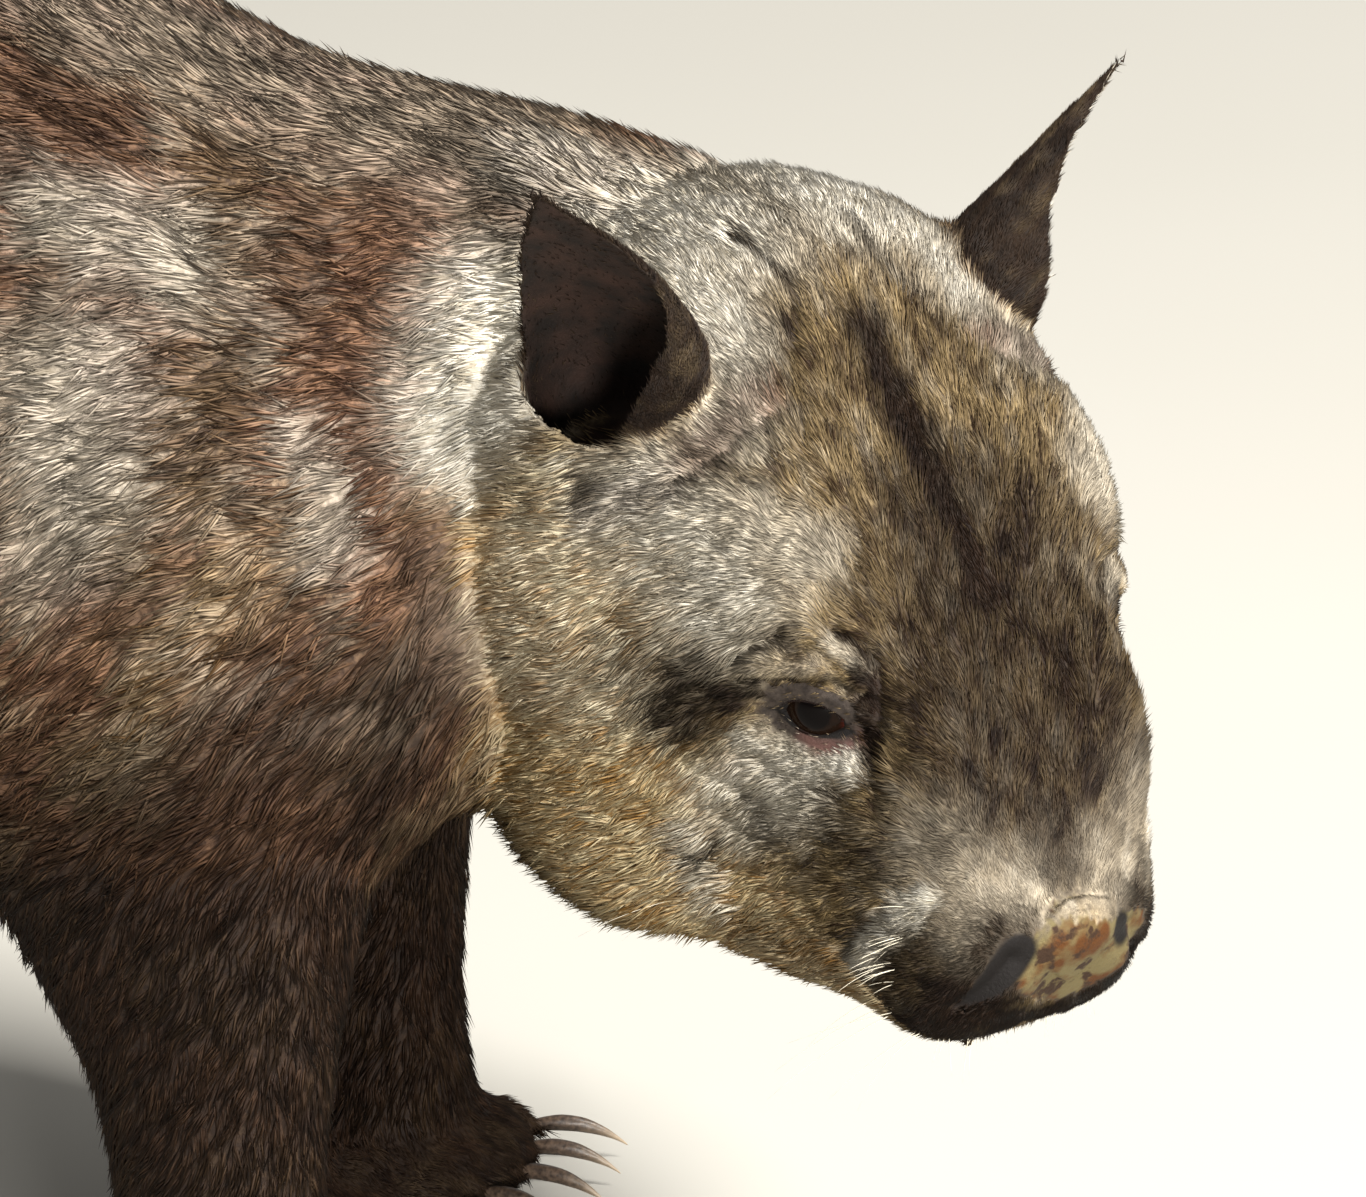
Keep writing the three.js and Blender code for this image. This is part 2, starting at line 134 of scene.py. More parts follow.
def distance_to_line(points, line):
    line = np.asarray(line, float)
    if len(line) == 1:
        return np.linalg.norm(points - line[0], axis=1)
    nearest = np.full(len(points), np.inf)
    for start, end in zip(line[:-1], line[1:]):
        along = end - start
        share = np.clip((points - start) @ along / (along @ along), 0, 1)
        gap = np.linalg.norm(points - start - share[:, None] * along, axis=1)
        nearest = np.minimum(nearest, gap)
    return nearest


WAVES = unit(chance.normal(size=(14, 3)))
WAVE_STARTS = chance.uniform(0, 2 * math.pi, 14)
WAVE_SIZES = chance.uniform(0.6, 1.7, 14)


def cloud(points, size, shift=0.0):
    """Smooth patches of about this size in millimetres, from -1 to 1."""
    phase = points @ WAVES.T * (2 * math.pi / size) * WAVE_SIZES + WAVE_STARTS + shift
    folded = np.sin(phase + 1.3 * np.sin(phase[:, ::-1] * 0.7))
    return np.clip(folded.sum(axis=1) / 5.2, -1, 1)


# Meshes as arrays

def rows_of(items, name, width, kind=float):
    """One property of all the items, as rows of numbers."""
    flat = np.empty(len(items) * width, kind)
    items.foreach_get(name, flat)
    return flat.reshape(-1, width)


def coordinates(mesh):
    return rows_of(mesh.vertices, "co", 3) / MM


def set_coordinates(mesh, points):
    mesh.vertices.foreach_set("co", (points * MM).ravel())
    mesh.update()


def vertex_normals(mesh):
    return rows_of(mesh.vertex_normals, "vector", 3)


def mesh_edges(mesh):
    return rows_of(mesh.edges, "vertices", 2, np.int64)


def triangle_corners(mesh):
    mesh.calc_loop_triangles()
    return rows_of(mesh.loop_triangles, "vertices", 3, np.int64)


def blurred(values, edges, times, strength=0.5):
    """Values at the vertices, each drawn towards the mean of its neighbours again and again."""
    count = len(values)
    columns = values.reshape(count, -1).copy()
    strength = np.broadcast_to(np.asarray(strength, float).reshape(-1, 1), (count, 1))
    starts, ends = edges[:, 0], edges[:, 1]
    degree = np.maximum(np.bincount(edges.ravel(), minlength=count), 1)[:, None]
    for _ in range(times):
        total = np.empty_like(columns)
        for column in range(columns.shape[1]):
            value = columns[:, column]
            total[:, column] = np.bincount(starts, value[ends], count)
            total[:, column] += np.bincount(ends, value[starts], count)
        columns += strength * (total / degree - columns)
    return columns.reshape(values.shape)


def finished(made, name):
    """A mesh of this name from the bmesh, which is then freed."""
    mesh = bpy.data.meshes.new(name)
    made.to_mesh(mesh)
    made.free()
    return mesh


def new_object(name, mesh):
    piece = bpy.data.objects.new(name, mesh)
    bpy.context.scene.collection.objects.link(piece)
    return piece


def smooth_piece(name, mesh, material):
    mesh.shade_smooth()
    mesh.materials.append(material)
    return new_object(name, mesh)


def applied(piece):
    """The piece's mesh with its modifiers applied. The piece itself is removed."""
    evaluated = piece.evaluated_get(bpy.context.evaluated_depsgraph_get())
    mesh = bpy.data.meshes.new_from_object(evaluated)
    bpy.data.objects.remove(piece)
    return mesh


def tree_of(mesh):
    corners = [tuple(face.vertices) for face in mesh.polygons]
    return BVHTree.FromPolygons([vert.co.copy() for vert in mesh.vertices], corners)


def nearest_points(tree, points):
    return np.array([tree.find_nearest(Vector(point * MM))[0] for point in points]) / MM


# Camera, floor and lights

CAMERA_TURN = 20
CAMERA_RISE = 20
CAMERA_DISTANCE = 2200
CAMERA_LENS = 258.4
CAMERA_SENSOR = 36
AIM_FROM_HEAD = (-22, -24)

# Each light's offset from the aim to the camera's right, up and back, then its size, power and colour
STUDIO_LIGHTS = {
    "key light": ((1400, 2330, 960), 1010, 262, (1.0, 0.97, 0.92)),
    "front light": ((250, 75, 1480), 300, 30, (1.0, 0.98, 0.94)),
}
WORLD_COLOUR = (1.0, 0.98, 0.95, 1)
WORLD_STRENGTH = 0.5
FLOOR_REACH = 9000


def camera_axes():
    turn, rise = math.radians(CAMERA_TURN), math.radians(CAMERA_RISE)
    right = np.array([math.sin(turn), -math.cos(turn), 0])
    away = np.array([math.cos(turn), math.sin(turn), 0])
    up = np.array([0, 0, 1.0])
    return right, up, -away * math.cos(rise) + up * math.sin(rise)


def add_camera():
    right, up, back = camera_axes()
    aim = HEAD_AT + right * AIM_FROM_HEAD[0] + up * AIM_FROM_HEAD[1]
    camera = bpy.data.objects.new("camera", bpy.data.cameras.new("camera"))
    camera.data.lens = CAMERA_LENS
    camera.data.sensor_width = CAMERA_SENSOR
    camera.location = Vector((aim + back * CAMERA_DISTANCE) * MM)
    camera.rotation_euler = Vector(back).to_track_quat("Z", "Y").to_euler()
    bpy.context.scene.collection.objects.link(camera)
    bpy.context.scene.camera = camera
    return aim


def add_light(name, aim, offset, size, power, colour):
    """A square light that faces the aim."""
    right, up, _ = camera_axes()
    back = np.cross(right, up)
    light = bpy.data.objects.new(name, bpy.data.lights.new(name, "AREA"))
    light.data.size = size * MM
    light.data.energy = power
    light.data.color = colour
    place = aim + right * offset[0] + up * offset[1] + back * offset[2]
    light.location = Vector(place * MM)
    light.rotation_euler = Vector(place - aim).to_track_quat("Z", "Y").to_euler()
    bpy.context.scene.collection.objects.link(light)


def add_studio(aim):
    for name, settings in STUDIO_LIGHTS.items():
        add_light(name, aim, *settings)
    world = bpy.data.worlds.new("studio")
    world.use_nodes = True
    background = world.node_tree.nodes["Background"]
    background.inputs["Color"].default_value = WORLD_COLOUR
    background.inputs["Strength"].default_value = WORLD_STRENGTH
    bpy.context.scene.world = world
    bpy.context.scene.view_settings.view_transform = "Standard"
    ground = bmesh.new()
    bmesh.ops.create_grid(ground, x_segments=1, y_segments=1, size=FLOOR_REACH * MM)
    plane = new_object("floor", finished(ground, "floor"))
    plane.data.materials.append(floor_paint())


# Materials

def linear(hex_colour):
    """An sRGB hex colour as linear red, green, blue and alpha."""
    values = [int(hex_colour[i:i + 2], 16) / 255 for i in (1, 3, 5)]
    return tuple(v / 12.92 if v <= 0.04045 else ((v + 0.055) / 1.055) ** 2.4 for v in values) + (1.0,)


def add_node(tree, kind, settings=(), **sockets):
    """A node with its settings. Each socket, with underscores for spaces, is linked or given a value."""
    node = tree.nodes.new(kind)
    for name, value in dict(settings).items():
        setattr(node, name, value)
    for name, value in sockets.items():
        socket = node.inputs[int(name[1:]) if name[1:].isdigit() else name.replace("_", " ")]
        if isinstance(value, bpy.types.NodeSocket):
            tree.links.new(value, socket)
        else:
            socket.default_value = value
    return node


def new_material(name, **shader_sockets):
    material = bpy.data.materials.new(name)
    material.use_nodes = True
    tree = material.node_tree
    shader = tree.nodes["Principled BSDF"]
    for socket, value in shader_sockets.items():
        shader.inputs[socket.replace("_", " ")].default_value = value
    return material, tree, shader


def mixed(tree, share, first, second, blend="MIX"):
    """Colour mixed from first to second. A hex text is a colour, and a number or socket is the share."""
    colours = [linear(c) if isinstance(c, str) else c for c in (first, second)]
    settings = {"data_type": "RGBA", "blend_type": blend}
    node = add_node(tree, "ShaderNodeMix", settings, s0=share, s6=colours[0], s7=colours[1])
    return node.outputs[2]


def noise(tree, size, detail=3.0, roughness=0.55):
    """Noise whose patches are about this many millimetres across."""
    place = add_node(tree, "ShaderNodeTexCoord").outputs["Object"]
    node = add_node(tree, "ShaderNodeTexNoise", {}, Vector=place, Scale=1 / (size * MM), Detail=detail,
                    Roughness=roughness)
    return node.outputs["Fac"]


def ramp(tree, value, low, high):
    node = add_node(tree, "ShaderNodeMapRange", {"clamp": True}, Value=value, From_Min=low, From_Max=high)
    return node.outputs[0]


def bump(tree, height, distance, strength=1.0):
    """Surface relief of this depth in millimetres."""
    node = add_node(tree, "ShaderNodeBump", {}, Height=height, Distance=distance * MM, Strength=strength)
    return node.outputs["Normal"]


def attribute_parts(tree, name):
    """The red, green, blue and alpha of a stored attribute."""
    node = add_node(tree, "ShaderNodeAttribute", {"attribute_name": name})
    parts = add_node(tree, "ShaderNodeSeparateColor", {}, Color=node.outputs["Color"])
    return [*parts.outputs[:3], node.outputs["Alpha"]]


def coat_colours(tree, speck, along):
    """Grizzled fur, dark at the root and paler at the tip, which the stored markings, painted shade and
    painted light shift.
    """
    dark, pale, tan, red = attribute_parts(tree, "markings_and_painted_light")
    grizzle = ramp(tree, speck, 0.1, 0.9)
    tip = mixed(tree, grizzle, "#3a2b1c", "#a28c64")
    tip = mixed(tree, tan, tip, mixed(tree, grizzle, "#c1914b", "#ffefc4"))
    tip = mixed(tree, red, tip, mixed(tree, grizzle, "#452619", "#9c7153"))
    tip = mixed(tree, pale, tip, mixed(tree, grizzle, "#c0b8a6", "#fffcf2"))
    tip = mixed(tree, dark, tip, mixed(tree, grizzle, "#080504", "#1f150d"))
    root = mixed(tree, 0.6, tip, mixed(tree, pale, "#24170f", "#857b69"))
    return mixed(tree, along, root, tip)


def fur_coat():
    """Short, dense fur, with a faint gleam and no gloss."""
    material, tree, shader = new_material("grizzled fur", Roughness=0.6, Specular_IOR_Level=0.1)
    along, speck, _, _ = attribute_parts(tree, "hair")
    tree.links.new(coat_colours(tree, speck, along), shader.inputs["Base Color"])
    return material


def animal_skin():
    """Skin under the coat, matt and finely pored, and bare on the nose, in the ears and on the lids."""
    material, tree, shader = new_material("wombat skin", Roughness=0.72, Specular_IOR_Level=0.2)
    speck = ramp(tree, noise(tree, 1.6, 4), 0.3, 0.7)
    colour = coat_colours(tree, speck, ramp(tree, noise(tree, 3.2, 3), 0.3, 0.9))
    nose, ear, wet, bare = attribute_parts(tree, "bareness")
    patches = ramp(tree, noise(tree, 13, 3), 0.46, 0.56)
    pad = mixed(tree, patches, "#5c5236", "#48290b")
    pad = mixed(tree, ramp(tree, noise(tree, 5.5, 5), 0.53, 0.6), pad, "#2c1c10")
    colour = mixed(tree, nose, colour, pad)
    ear_colour = mixed(tree, ramp(tree, noise(tree, 9, 3), 0.35, 0.7), "#15100d", "#2b1d17")
    colour = mixed(tree, ear, colour, ear_colour)
    lids = mixed(tree, speck, "#1e1815", "#3b332d")
    lids = mixed(tree, attribute_parts(tree, "markings_and_painted_light")[3], lids, "#4c3530")
    colour = mixed(tree, bare, colour, lids)
    # Painted shade in the nostrils, along the mouth and inside the eye's opening.
    colour = mixed(tree, wet, colour, "#0b0706")
    tree.links.new(colour, shader.inputs["Base Color"])
    pores = noise(tree, 0.9, 4, 0.65)
    tree.links.new(bump(tree, pores, 0.5, 0.7), shader.inputs["Normal"])
    return material


def wet_eye():
    """A wet cornea over a nearly black eye with a deep brown iris."""
    material, tree, shader = new_material("wet eye", Roughness=0.05, IOR=1.34, Specular_IOR_Level=0.12)
    pupil, iris, corner, _ = attribute_parts(tree, "eye")
    colour = mixed(tree, iris, "#170e0b", mixed(tree, noise(tree, 0.8, 3), "#0a0604", "#190e08"))
    colour = mixed(tree, pupil, colour, "#050303")
    colour = mixed(tree, corner, colour, "#4e1f19")
    tree.links.new(colour, shader.inputs["Base Color"])
    return material


def claw_horn():
    """Dull grey-brown horn with fine grooves and a paler, worn tip."""
    material, tree, shader = new_material("claw horn", Roughness=0.42, Specular_IOR_Level=0.45)
    tip = attribute_parts(tree, "claw")[0]
    grain = noise(tree, 1.2, 4)
    colour = mixed(tree, ramp(tree, grain, 0.35, 0.7), "#2b211b", "#5a4a3d")
    colour = mixed(tree, tip, colour, "#9c8b74")
    tree.links.new(colour, shader.inputs["Base Color"])
    tree.links.new(bump(tree, grain, 0.15, 0.6), shader.inputs["Normal"])
    return material


def whisker_hair():
    """Stiff, pale keratin."""
    colour = linear("#e4dbc6")
    return new_material("whisker hair", Base_Color=colour, Roughness=0.35, Specular_IOR_Level=0.5)[0]


def lash_hair():
    """Dark, stiff hair at the lids and lips."""
    colour = linear("#171110")
    return new_material("lash hair", Base_Color=colour, Roughness=0.6, Specular_IOR_Level=0.15)[0]


def floor_paint():
    """Matt pale floor."""
    material, tree, shader = new_material("pale floor", Roughness=0.9, Specular_IOR_Level=0.2)
    colour = mixed(tree, noise(tree, 400, 2), "#a7a59e", "#acaaa4")
    tree.links.new(colour, shader.inputs["Base Color"])
    return material


# The skin: one closed surface over all the flesh

GAP_FILL = 0.5
SKIN_VOXEL = 1.5
SKIN_KEPT = 0.155
BODY_SMOOTHING = 150
HEAD_SMOOTHING = 9
FINE_PARTS = ("head", "nose", "ear", "forefoot", "hindfoot", "tail")

# How far the small faces of the skin reach round the eyes, the tip of the nose and the folds
EYE_DETAIL, NOSE_DETAIL, FOLD_DETAIL = 30, 45, 10

# Faces nearer than these to an eye or the nose are cut finer, once for each
FINER_WITHIN = (15, 11)
NOSE_SIZE = 16


def flesh_tree():
    """A search tree over the nodes of flesh, with the number of each face's kind of body part."""
    points, corners, owners = [], [], []
    for name in FLESH:
        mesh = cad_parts[name].data
        start = len(points)
        points.extend(vert.co.copy() for vert in mesh.vertices)
        corners.extend(tuple(start + i for i in face.vertices) for face in mesh.polygons)
        owners.extend([KINDS.index(name.split("_")[0])] * len(mesh.polygons))
    return BVHTree.FromPolygons(points, corners), np.array(owners)


def part_shares(tree, owners, mesh, edges, softness):
    """For each kind of body part, how far each vertex belongs to it, from 0 to 1."""
    nearest = [tree.find_nearest(vert.co)[2] for vert in mesh.vertices]
    columns = np.eye(len(KINDS))[owners[nearest]]
    return dict(zip(KINDS, blurred(columns, edges, softness).T))


def joined_flesh():
    """Copies of the flesh and eyes, merged, swollen over the cuts between them and laid in one mesh."""
    merged = bmesh.new()
    for name in FLESH + EYES:
        piece = bmesh.new()
        piece.from_mesh(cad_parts[name].data)
        bmesh.ops.remove_doubles(piece, verts=piece.verts, dist=1e-5)
        piece.normal_update()
        for vert in piece.verts:
            vert.co += vert.normal * GAP_FILL * MM
        mesh = finished(piece, "copy")
        merged.from_mesh(mesh)
        bpy.data.meshes.remove(mesh)
    return finished(merged, "flesh")


def refined(mesh, distance_to, reaches):
    """The mesh with the faces whose middle is within each reach in turn cut finer."""
    made = bmesh.new()
    made.from_mesh(mesh)
    for reach in reaches:
        middles = np.array([face.calc_center_median() for face in made.faces]) / MM
        chosen = distance_to(middles) < reach
        edges = [edge for face, is_chosen in zip(made.faces, chosen) if is_chosen for edge in face.edges]
        bmesh.ops.subdivide_edges(made, edges=list(dict.fromkeys(edges)), cuts=1, use_grid_fill=True)
        bmesh.ops.triangulate(made, faces=made.faces)
    made.to_mesh(mesh)
    made.free()
    return mesh


# The eye's own axes, out of it and along and across the tilted opening between the two arcs of the lids
EYE_GAZE = unit(np.array([0.45, 0.87, 0.2]))
EYE_TILT = 18
level_across = unit(np.cross(EYE_GAZE, [0, 0, 1]))
EYE_ACROSS = (level_across * math.cos(math.radians(EYE_TILT))
              + np.cross(level_across, EYE_GAZE) * math.sin(math.radians(EYE_TILT)))
EYE_UP = np.cross(EYE_ACROSS, EYE_GAZE)
FISSURE_LENGTH = 18.5
FISSURE_SHIFT = (-0.3, -3.0)
UPPER_RISE = 5.7
LOWER_RISE = 3.1

# How far the skin lies from the eye's middle: behind the eye, at the lids' edges, and over each lid
BEHIND_EYE, LID_EDGE, UPPER_LID, LOWER_LID = 9.0, 11.9, 13.2, 12.6


def arc_reach(rise):
    """How far the middle of a lid's arc lies from the line between the corners of the eye."""
    return (FISSURE_LENGTH ** 2 / 4 - rise ** 2) / (2 * rise)


def almond(across, up):
    """Distance outside the opening of the eye, in millimetres; negative within it."""
    across, up = across - FISSURE_SHIFT[0], up - FISSURE_SHIFT[1]
    under_upper = np.hypot(across, up + arc_reach(UPPER_RISE)) - arc_reach(UPPER_RISE) - UPPER_RISE
    over_lower = np.hypot(across, up - arc_reach(LOWER_RISE)) - arc_reach(LOWER_RISE) - LOWER_RISE
    past_corner = np.maximum(np.abs(across) - FISSURE_LENGTH / 2, 0)
    return np.where(past_corner > 0, np.hypot(past_corner, up), np.maximum(under_upper, over_lower))


def lid_arc(rise, way, across):
    """Where a lid's edge runs, as offsets from the eye's middle across and up its face."""
    up = way * (np.sqrt((arc_reach(rise) + rise) ** 2 - across ** 2) - arc_reach(rise))
    return np.outer(across + FISSURE_SHIFT[0], EYE_ACROSS) + np.outer(up + FISSURE_SHIFT[1], EYE_UP)


def eye_places(folded):
    """For points in the folded head frame: the distance from the eye, and across, up and out of its face."""
    offset = folded - EYE_AT
    distance = np.linalg.norm(offset, axis=1)
    on_ball = offset / np.clip(distance, 1e-6, EYE_RADIUS + 3)[:, None] * (EYE_RADIUS + 1)
    return distance, on_ball @ EYE_ACROSS, on_ball @ EYE_UP, on_ball @ EYE_GAZE


def beside_opening(folded):
    """How far points near the eye lie outside its opening, and how far up its face."""
    distance, across, up, out = eye_places(folded)
    return np.where((out > 0) & (distance < 20), almond(across, up), 99), up


NOSE_TIP = np.array([124.0, 0, -22])
MOUTH_LINE = [(99, 37, -42), (110, 32, -45), (119, 22, -48), (125, 9, -49), (126, 0, -49)]
NOSTRIL_LINE = [(117, 17.5, -33), (122, 15.5, -24), (125, 12.5, -14)]
NOSTRIL_FLARE = 4.5

# Lines that folds and markings share, in the folded head frame
LID_CREASE = [(51.6, 55.7, 9.3), (58.9, 49.3, 14.9), (65.6, 41.7, 18.8)]
BROW_FOLD = [(52.5, 54.3, 13.5), (57, 50.2, 18.2), (61.5, 45.5, 20.5)]
INNER_BROW = [(60.8, 41.9, 25.3), (63.6, 38.7, 25), (67.8, 36.5, 23)]
OUTER_CREASE = [(49.5, 56.3, 14), (51.5, 54.2, 19), (53.7, 49.6, 24.1)]
BROW_CREASE = [(59.5, 39.8, 27.8), (62.6, 35.8, 27.8), (66.4, 33.4, 26.3), (70.6, 33.3, 24.2),
               (75.4, 35, 20.1), (80.5, 37.5, 15), (84.4, 39.7, 7), (90.8, 39.3, 0.7)]
JAW_EDGE = [(78, 40, -52), (87, 36.2, -50), (100, 33.4, -45)]
# Along this line lies a band of painted shade, on reddish fur, where the cheek meets the neck.
NECK_SHADE_LINE = [(-13, 86.5, -6), (-8.5, 84.5, -13), (-1.5, 83.5, -22), (6, 82.5, -34)]

# Folds stand proud and creases sink: by what height, over what half width, along which line of the head
HEAD_FOLDS = [
    (-1.5, 1.3, LID_CREASE + [(71, 37, 19)]),
    (1.5, 2.5, BROW_FOLD),
    (1.1, 2.5, INNER_BROW),
    (-1.4, 1.6, OUTER_CREASE),
    (-1.1, 1.3, BROW_CREASE),
    (-1.0, 2.8, [(71.5, 37, 20.5), (75.5, 37.4, 17.8), (79.6, 38.8, 12.9), (82.8, 40.2, 7.1)]),
    (1.0, 2.6, [(58, 50.5, -4.5), (65, 47.5, -4.5), (73.7, 44.4, 0.5), (78, 42, 6)]),
    (-0.9, 1.4, [(56.7, 50.7, -10.3), (65, 47, -10), (76, 43, -5), (84, 41, 2)]),
    (0.8, 3.5, [(62, 46.5, -14), (74, 44, -11)]),
    (-0.9, 2.4, MOUTH_LINE),
    (-0.8, 1.2, MOUTH_LINE),
    (-0.7, 2.0, [(126, 0, -36), (126.5, 0, -46)]),
    (1.0, 3.0, [(108, 33.5, -9), (104, 37, -24), (101, 37, -37)]),
    (-1.1, 2.2, [(101, 38.5, -20), (97, 39, -33), (96, 40, -43)]),
    (-0.9, 2.5, [(-30, 16, 57), (-18, 14, 59), (-10, 13.5, 58.5), (1, 19.5, 55)]),
    (-0.8, 4.0, [(4, 0, 55), (33, 0, 42), (62, 0, 30)]),
    (-1.6, 2.6, [(13, 34, 50), (16, 47, 44), (14, 60, 32)]),
    (-0.8, 3.0, [(60, 48, -31), (60, 47, -42)]),
    (-2.2, 3.0, [(119, 23, -31), (122.5, 20, -24), (124, 18, -17)]),
    (0.9, 4.0, [(54.5, 51, -36), (66, 45.5, -48)]),
]

# How deep the coat is over each kind of body part, in millimetres
COAT_DEPTH = {"torso": 4.6, "neck": 4.2, "head": 1.9, "nose": 0.3, "tail": 2.0, "ear": 0.45,
              "foreleg": 3.2, "forefoot": 1.0, "hindleg": 3.6, "hindfoot": 1.0}


def sculpt_face(mesh, face_share):
    """Presses the lids round each eyeball, and raises the folds and sinks the creases of the face."""
    points = coordinates(mesh)
    folded, mirror = laid_left(points)
    normals = vertex_normals(mesh) @ HEAD_AXES * mirror
    near = face_share > 0.3
    height = np.zeros(len(points))
    tree = tree_of(mesh)
    for rise, width, line in HEAD_FOLDS:
        on_skin = to_head(nearest_points(tree, from_head(line)))
        height[near] += rise * np.exp(-(distance_to_line(folded[near], on_skin) / width) ** 2)
    folded += normals * height[:, None]
    distance, across, up, out = eye_places(folded)
    outside = almond(across, up)
    full_lid = np.where(up > FISSURE_SHIFT[1], UPPER_LID, LOWER_LID)
    lid = mix(LID_EDGE, full_lid, smoothstep(0.2, 2.5, outside))
    target = mix(BEHIND_EYE, lid, smoothstep(-0.7, 0.2, outside))
    share = (1 - smoothstep(2.2, 6.5, outside)) * (out > 0) * (distance < 26)
    direction = (folded - EYE_AT) / np.maximum(distance, 1e-6)[:, None]
    folded += direction * ((target - distance) * share)[:, None]
    moved = from_head(folded * mirror)
    points[near] = moved[near]
    set_coordinates(mesh, points)


def slimmed(mesh, points, ear_share):
    """The mesh with fewer and larger faces, apart from the ears and where the face has its features."""
    folded = one_side(to_head(points))
    to_fold = np.min([distance_to_line(folded, line) for _, _, line in HEAD_FOLDS], axis=0) - FOLD_DETAIL
    to_eye = np.linalg.norm(folded - EYE_AT, axis=1) - EYE_DETAIL
    to_nose = np.linalg.norm(folded - NOSE_TIP, axis=1) - NOSE_DETAIL
    is_plain = (ear_share < 0.2) & (np.minimum.reduce([to_fold, to_eye, to_nose]) > 0)
    piece = new_object("slimmed", mesh)
    piece.vertex_groups.new(name="plain").add(np.flatnonzero(is_plain).tolist(), 1.0, "REPLACE")
    decimate = piece.modifiers.new("slim", "DECIMATE")
    decimate.vertex_group = "plain"
    decimate.ratio = SKIN_KEPT
    return applied(piece)


def to_features(middles):
    """How far each place lies from the nearest eye or from the nose."""
    folded = one_side(to_head(middles))
    to_nose = np.linalg.norm(folded - NOSE_TIP, axis=1) - NOSE_SIZE
    return np.minimum(np.linalg.norm(folded - EYE_AT - EYE_GAZE * EYE_RADIUS, axis=1), np.maximum(to_nose, 0))


def make_skin():
    """The skin and, for each kind of body part, how far each of its vertices belongs to it."""
    started = new_object("flesh", joined_flesh())
    remesh = started.modifiers.new("remesh", "REMESH")
    remesh.mode = "VOXEL"
    remesh.voxel_size = SKIN_VOXEL * MM
    mesh = applied(started)
    tree, owners = flesh_tree()
    edges = mesh_edges(mesh)
    shares = part_shares(tree, owners, mesh, edges, 12)
    fine = np.clip(sum(shares[kind] for kind in FINE_PARTS), 0, 1)
    points = blurred(coordinates(mesh), edges, HEAD_SMOOTHING, mix(0.5, 0.22, shares["ear"]))
    points = blurred(points, edges, BODY_SMOOTHING, 0.5 * smoothstep(0.75, 0.1, fine))
    set_coordinates(mesh, points)
    mesh = refined(slimmed(mesh, points, shares["ear"]), to_features, FINER_WITHIN)

    edges = mesh_edges(mesh)
    shares = part_shares(tree, owners, mesh, edges, 6)
    depth = sum(COAT_DEPTH[kind] * share for kind, share in shares.items())
    folded = one_side(to_head(coordinates(mesh)))
    at_eye = np.linalg.norm(folded - EYE_AT - EYE_GAZE * 8, axis=1)
    at_nostril = distance_to_line(folded, NOSTRIL_LINE)
    depth = depth * smoothstep(8, 20, at_eye) * smoothstep(4, 12, at_nostril)
    set_coordinates(mesh, coordinates(mesh) - vertex_normals(mesh) * depth[:, None])
    sculpt_face(mesh, shares["head"] + shares["nose"])
    mesh.shade_smooth()
    piece = new_object("skin", mesh)
    return piece, shares
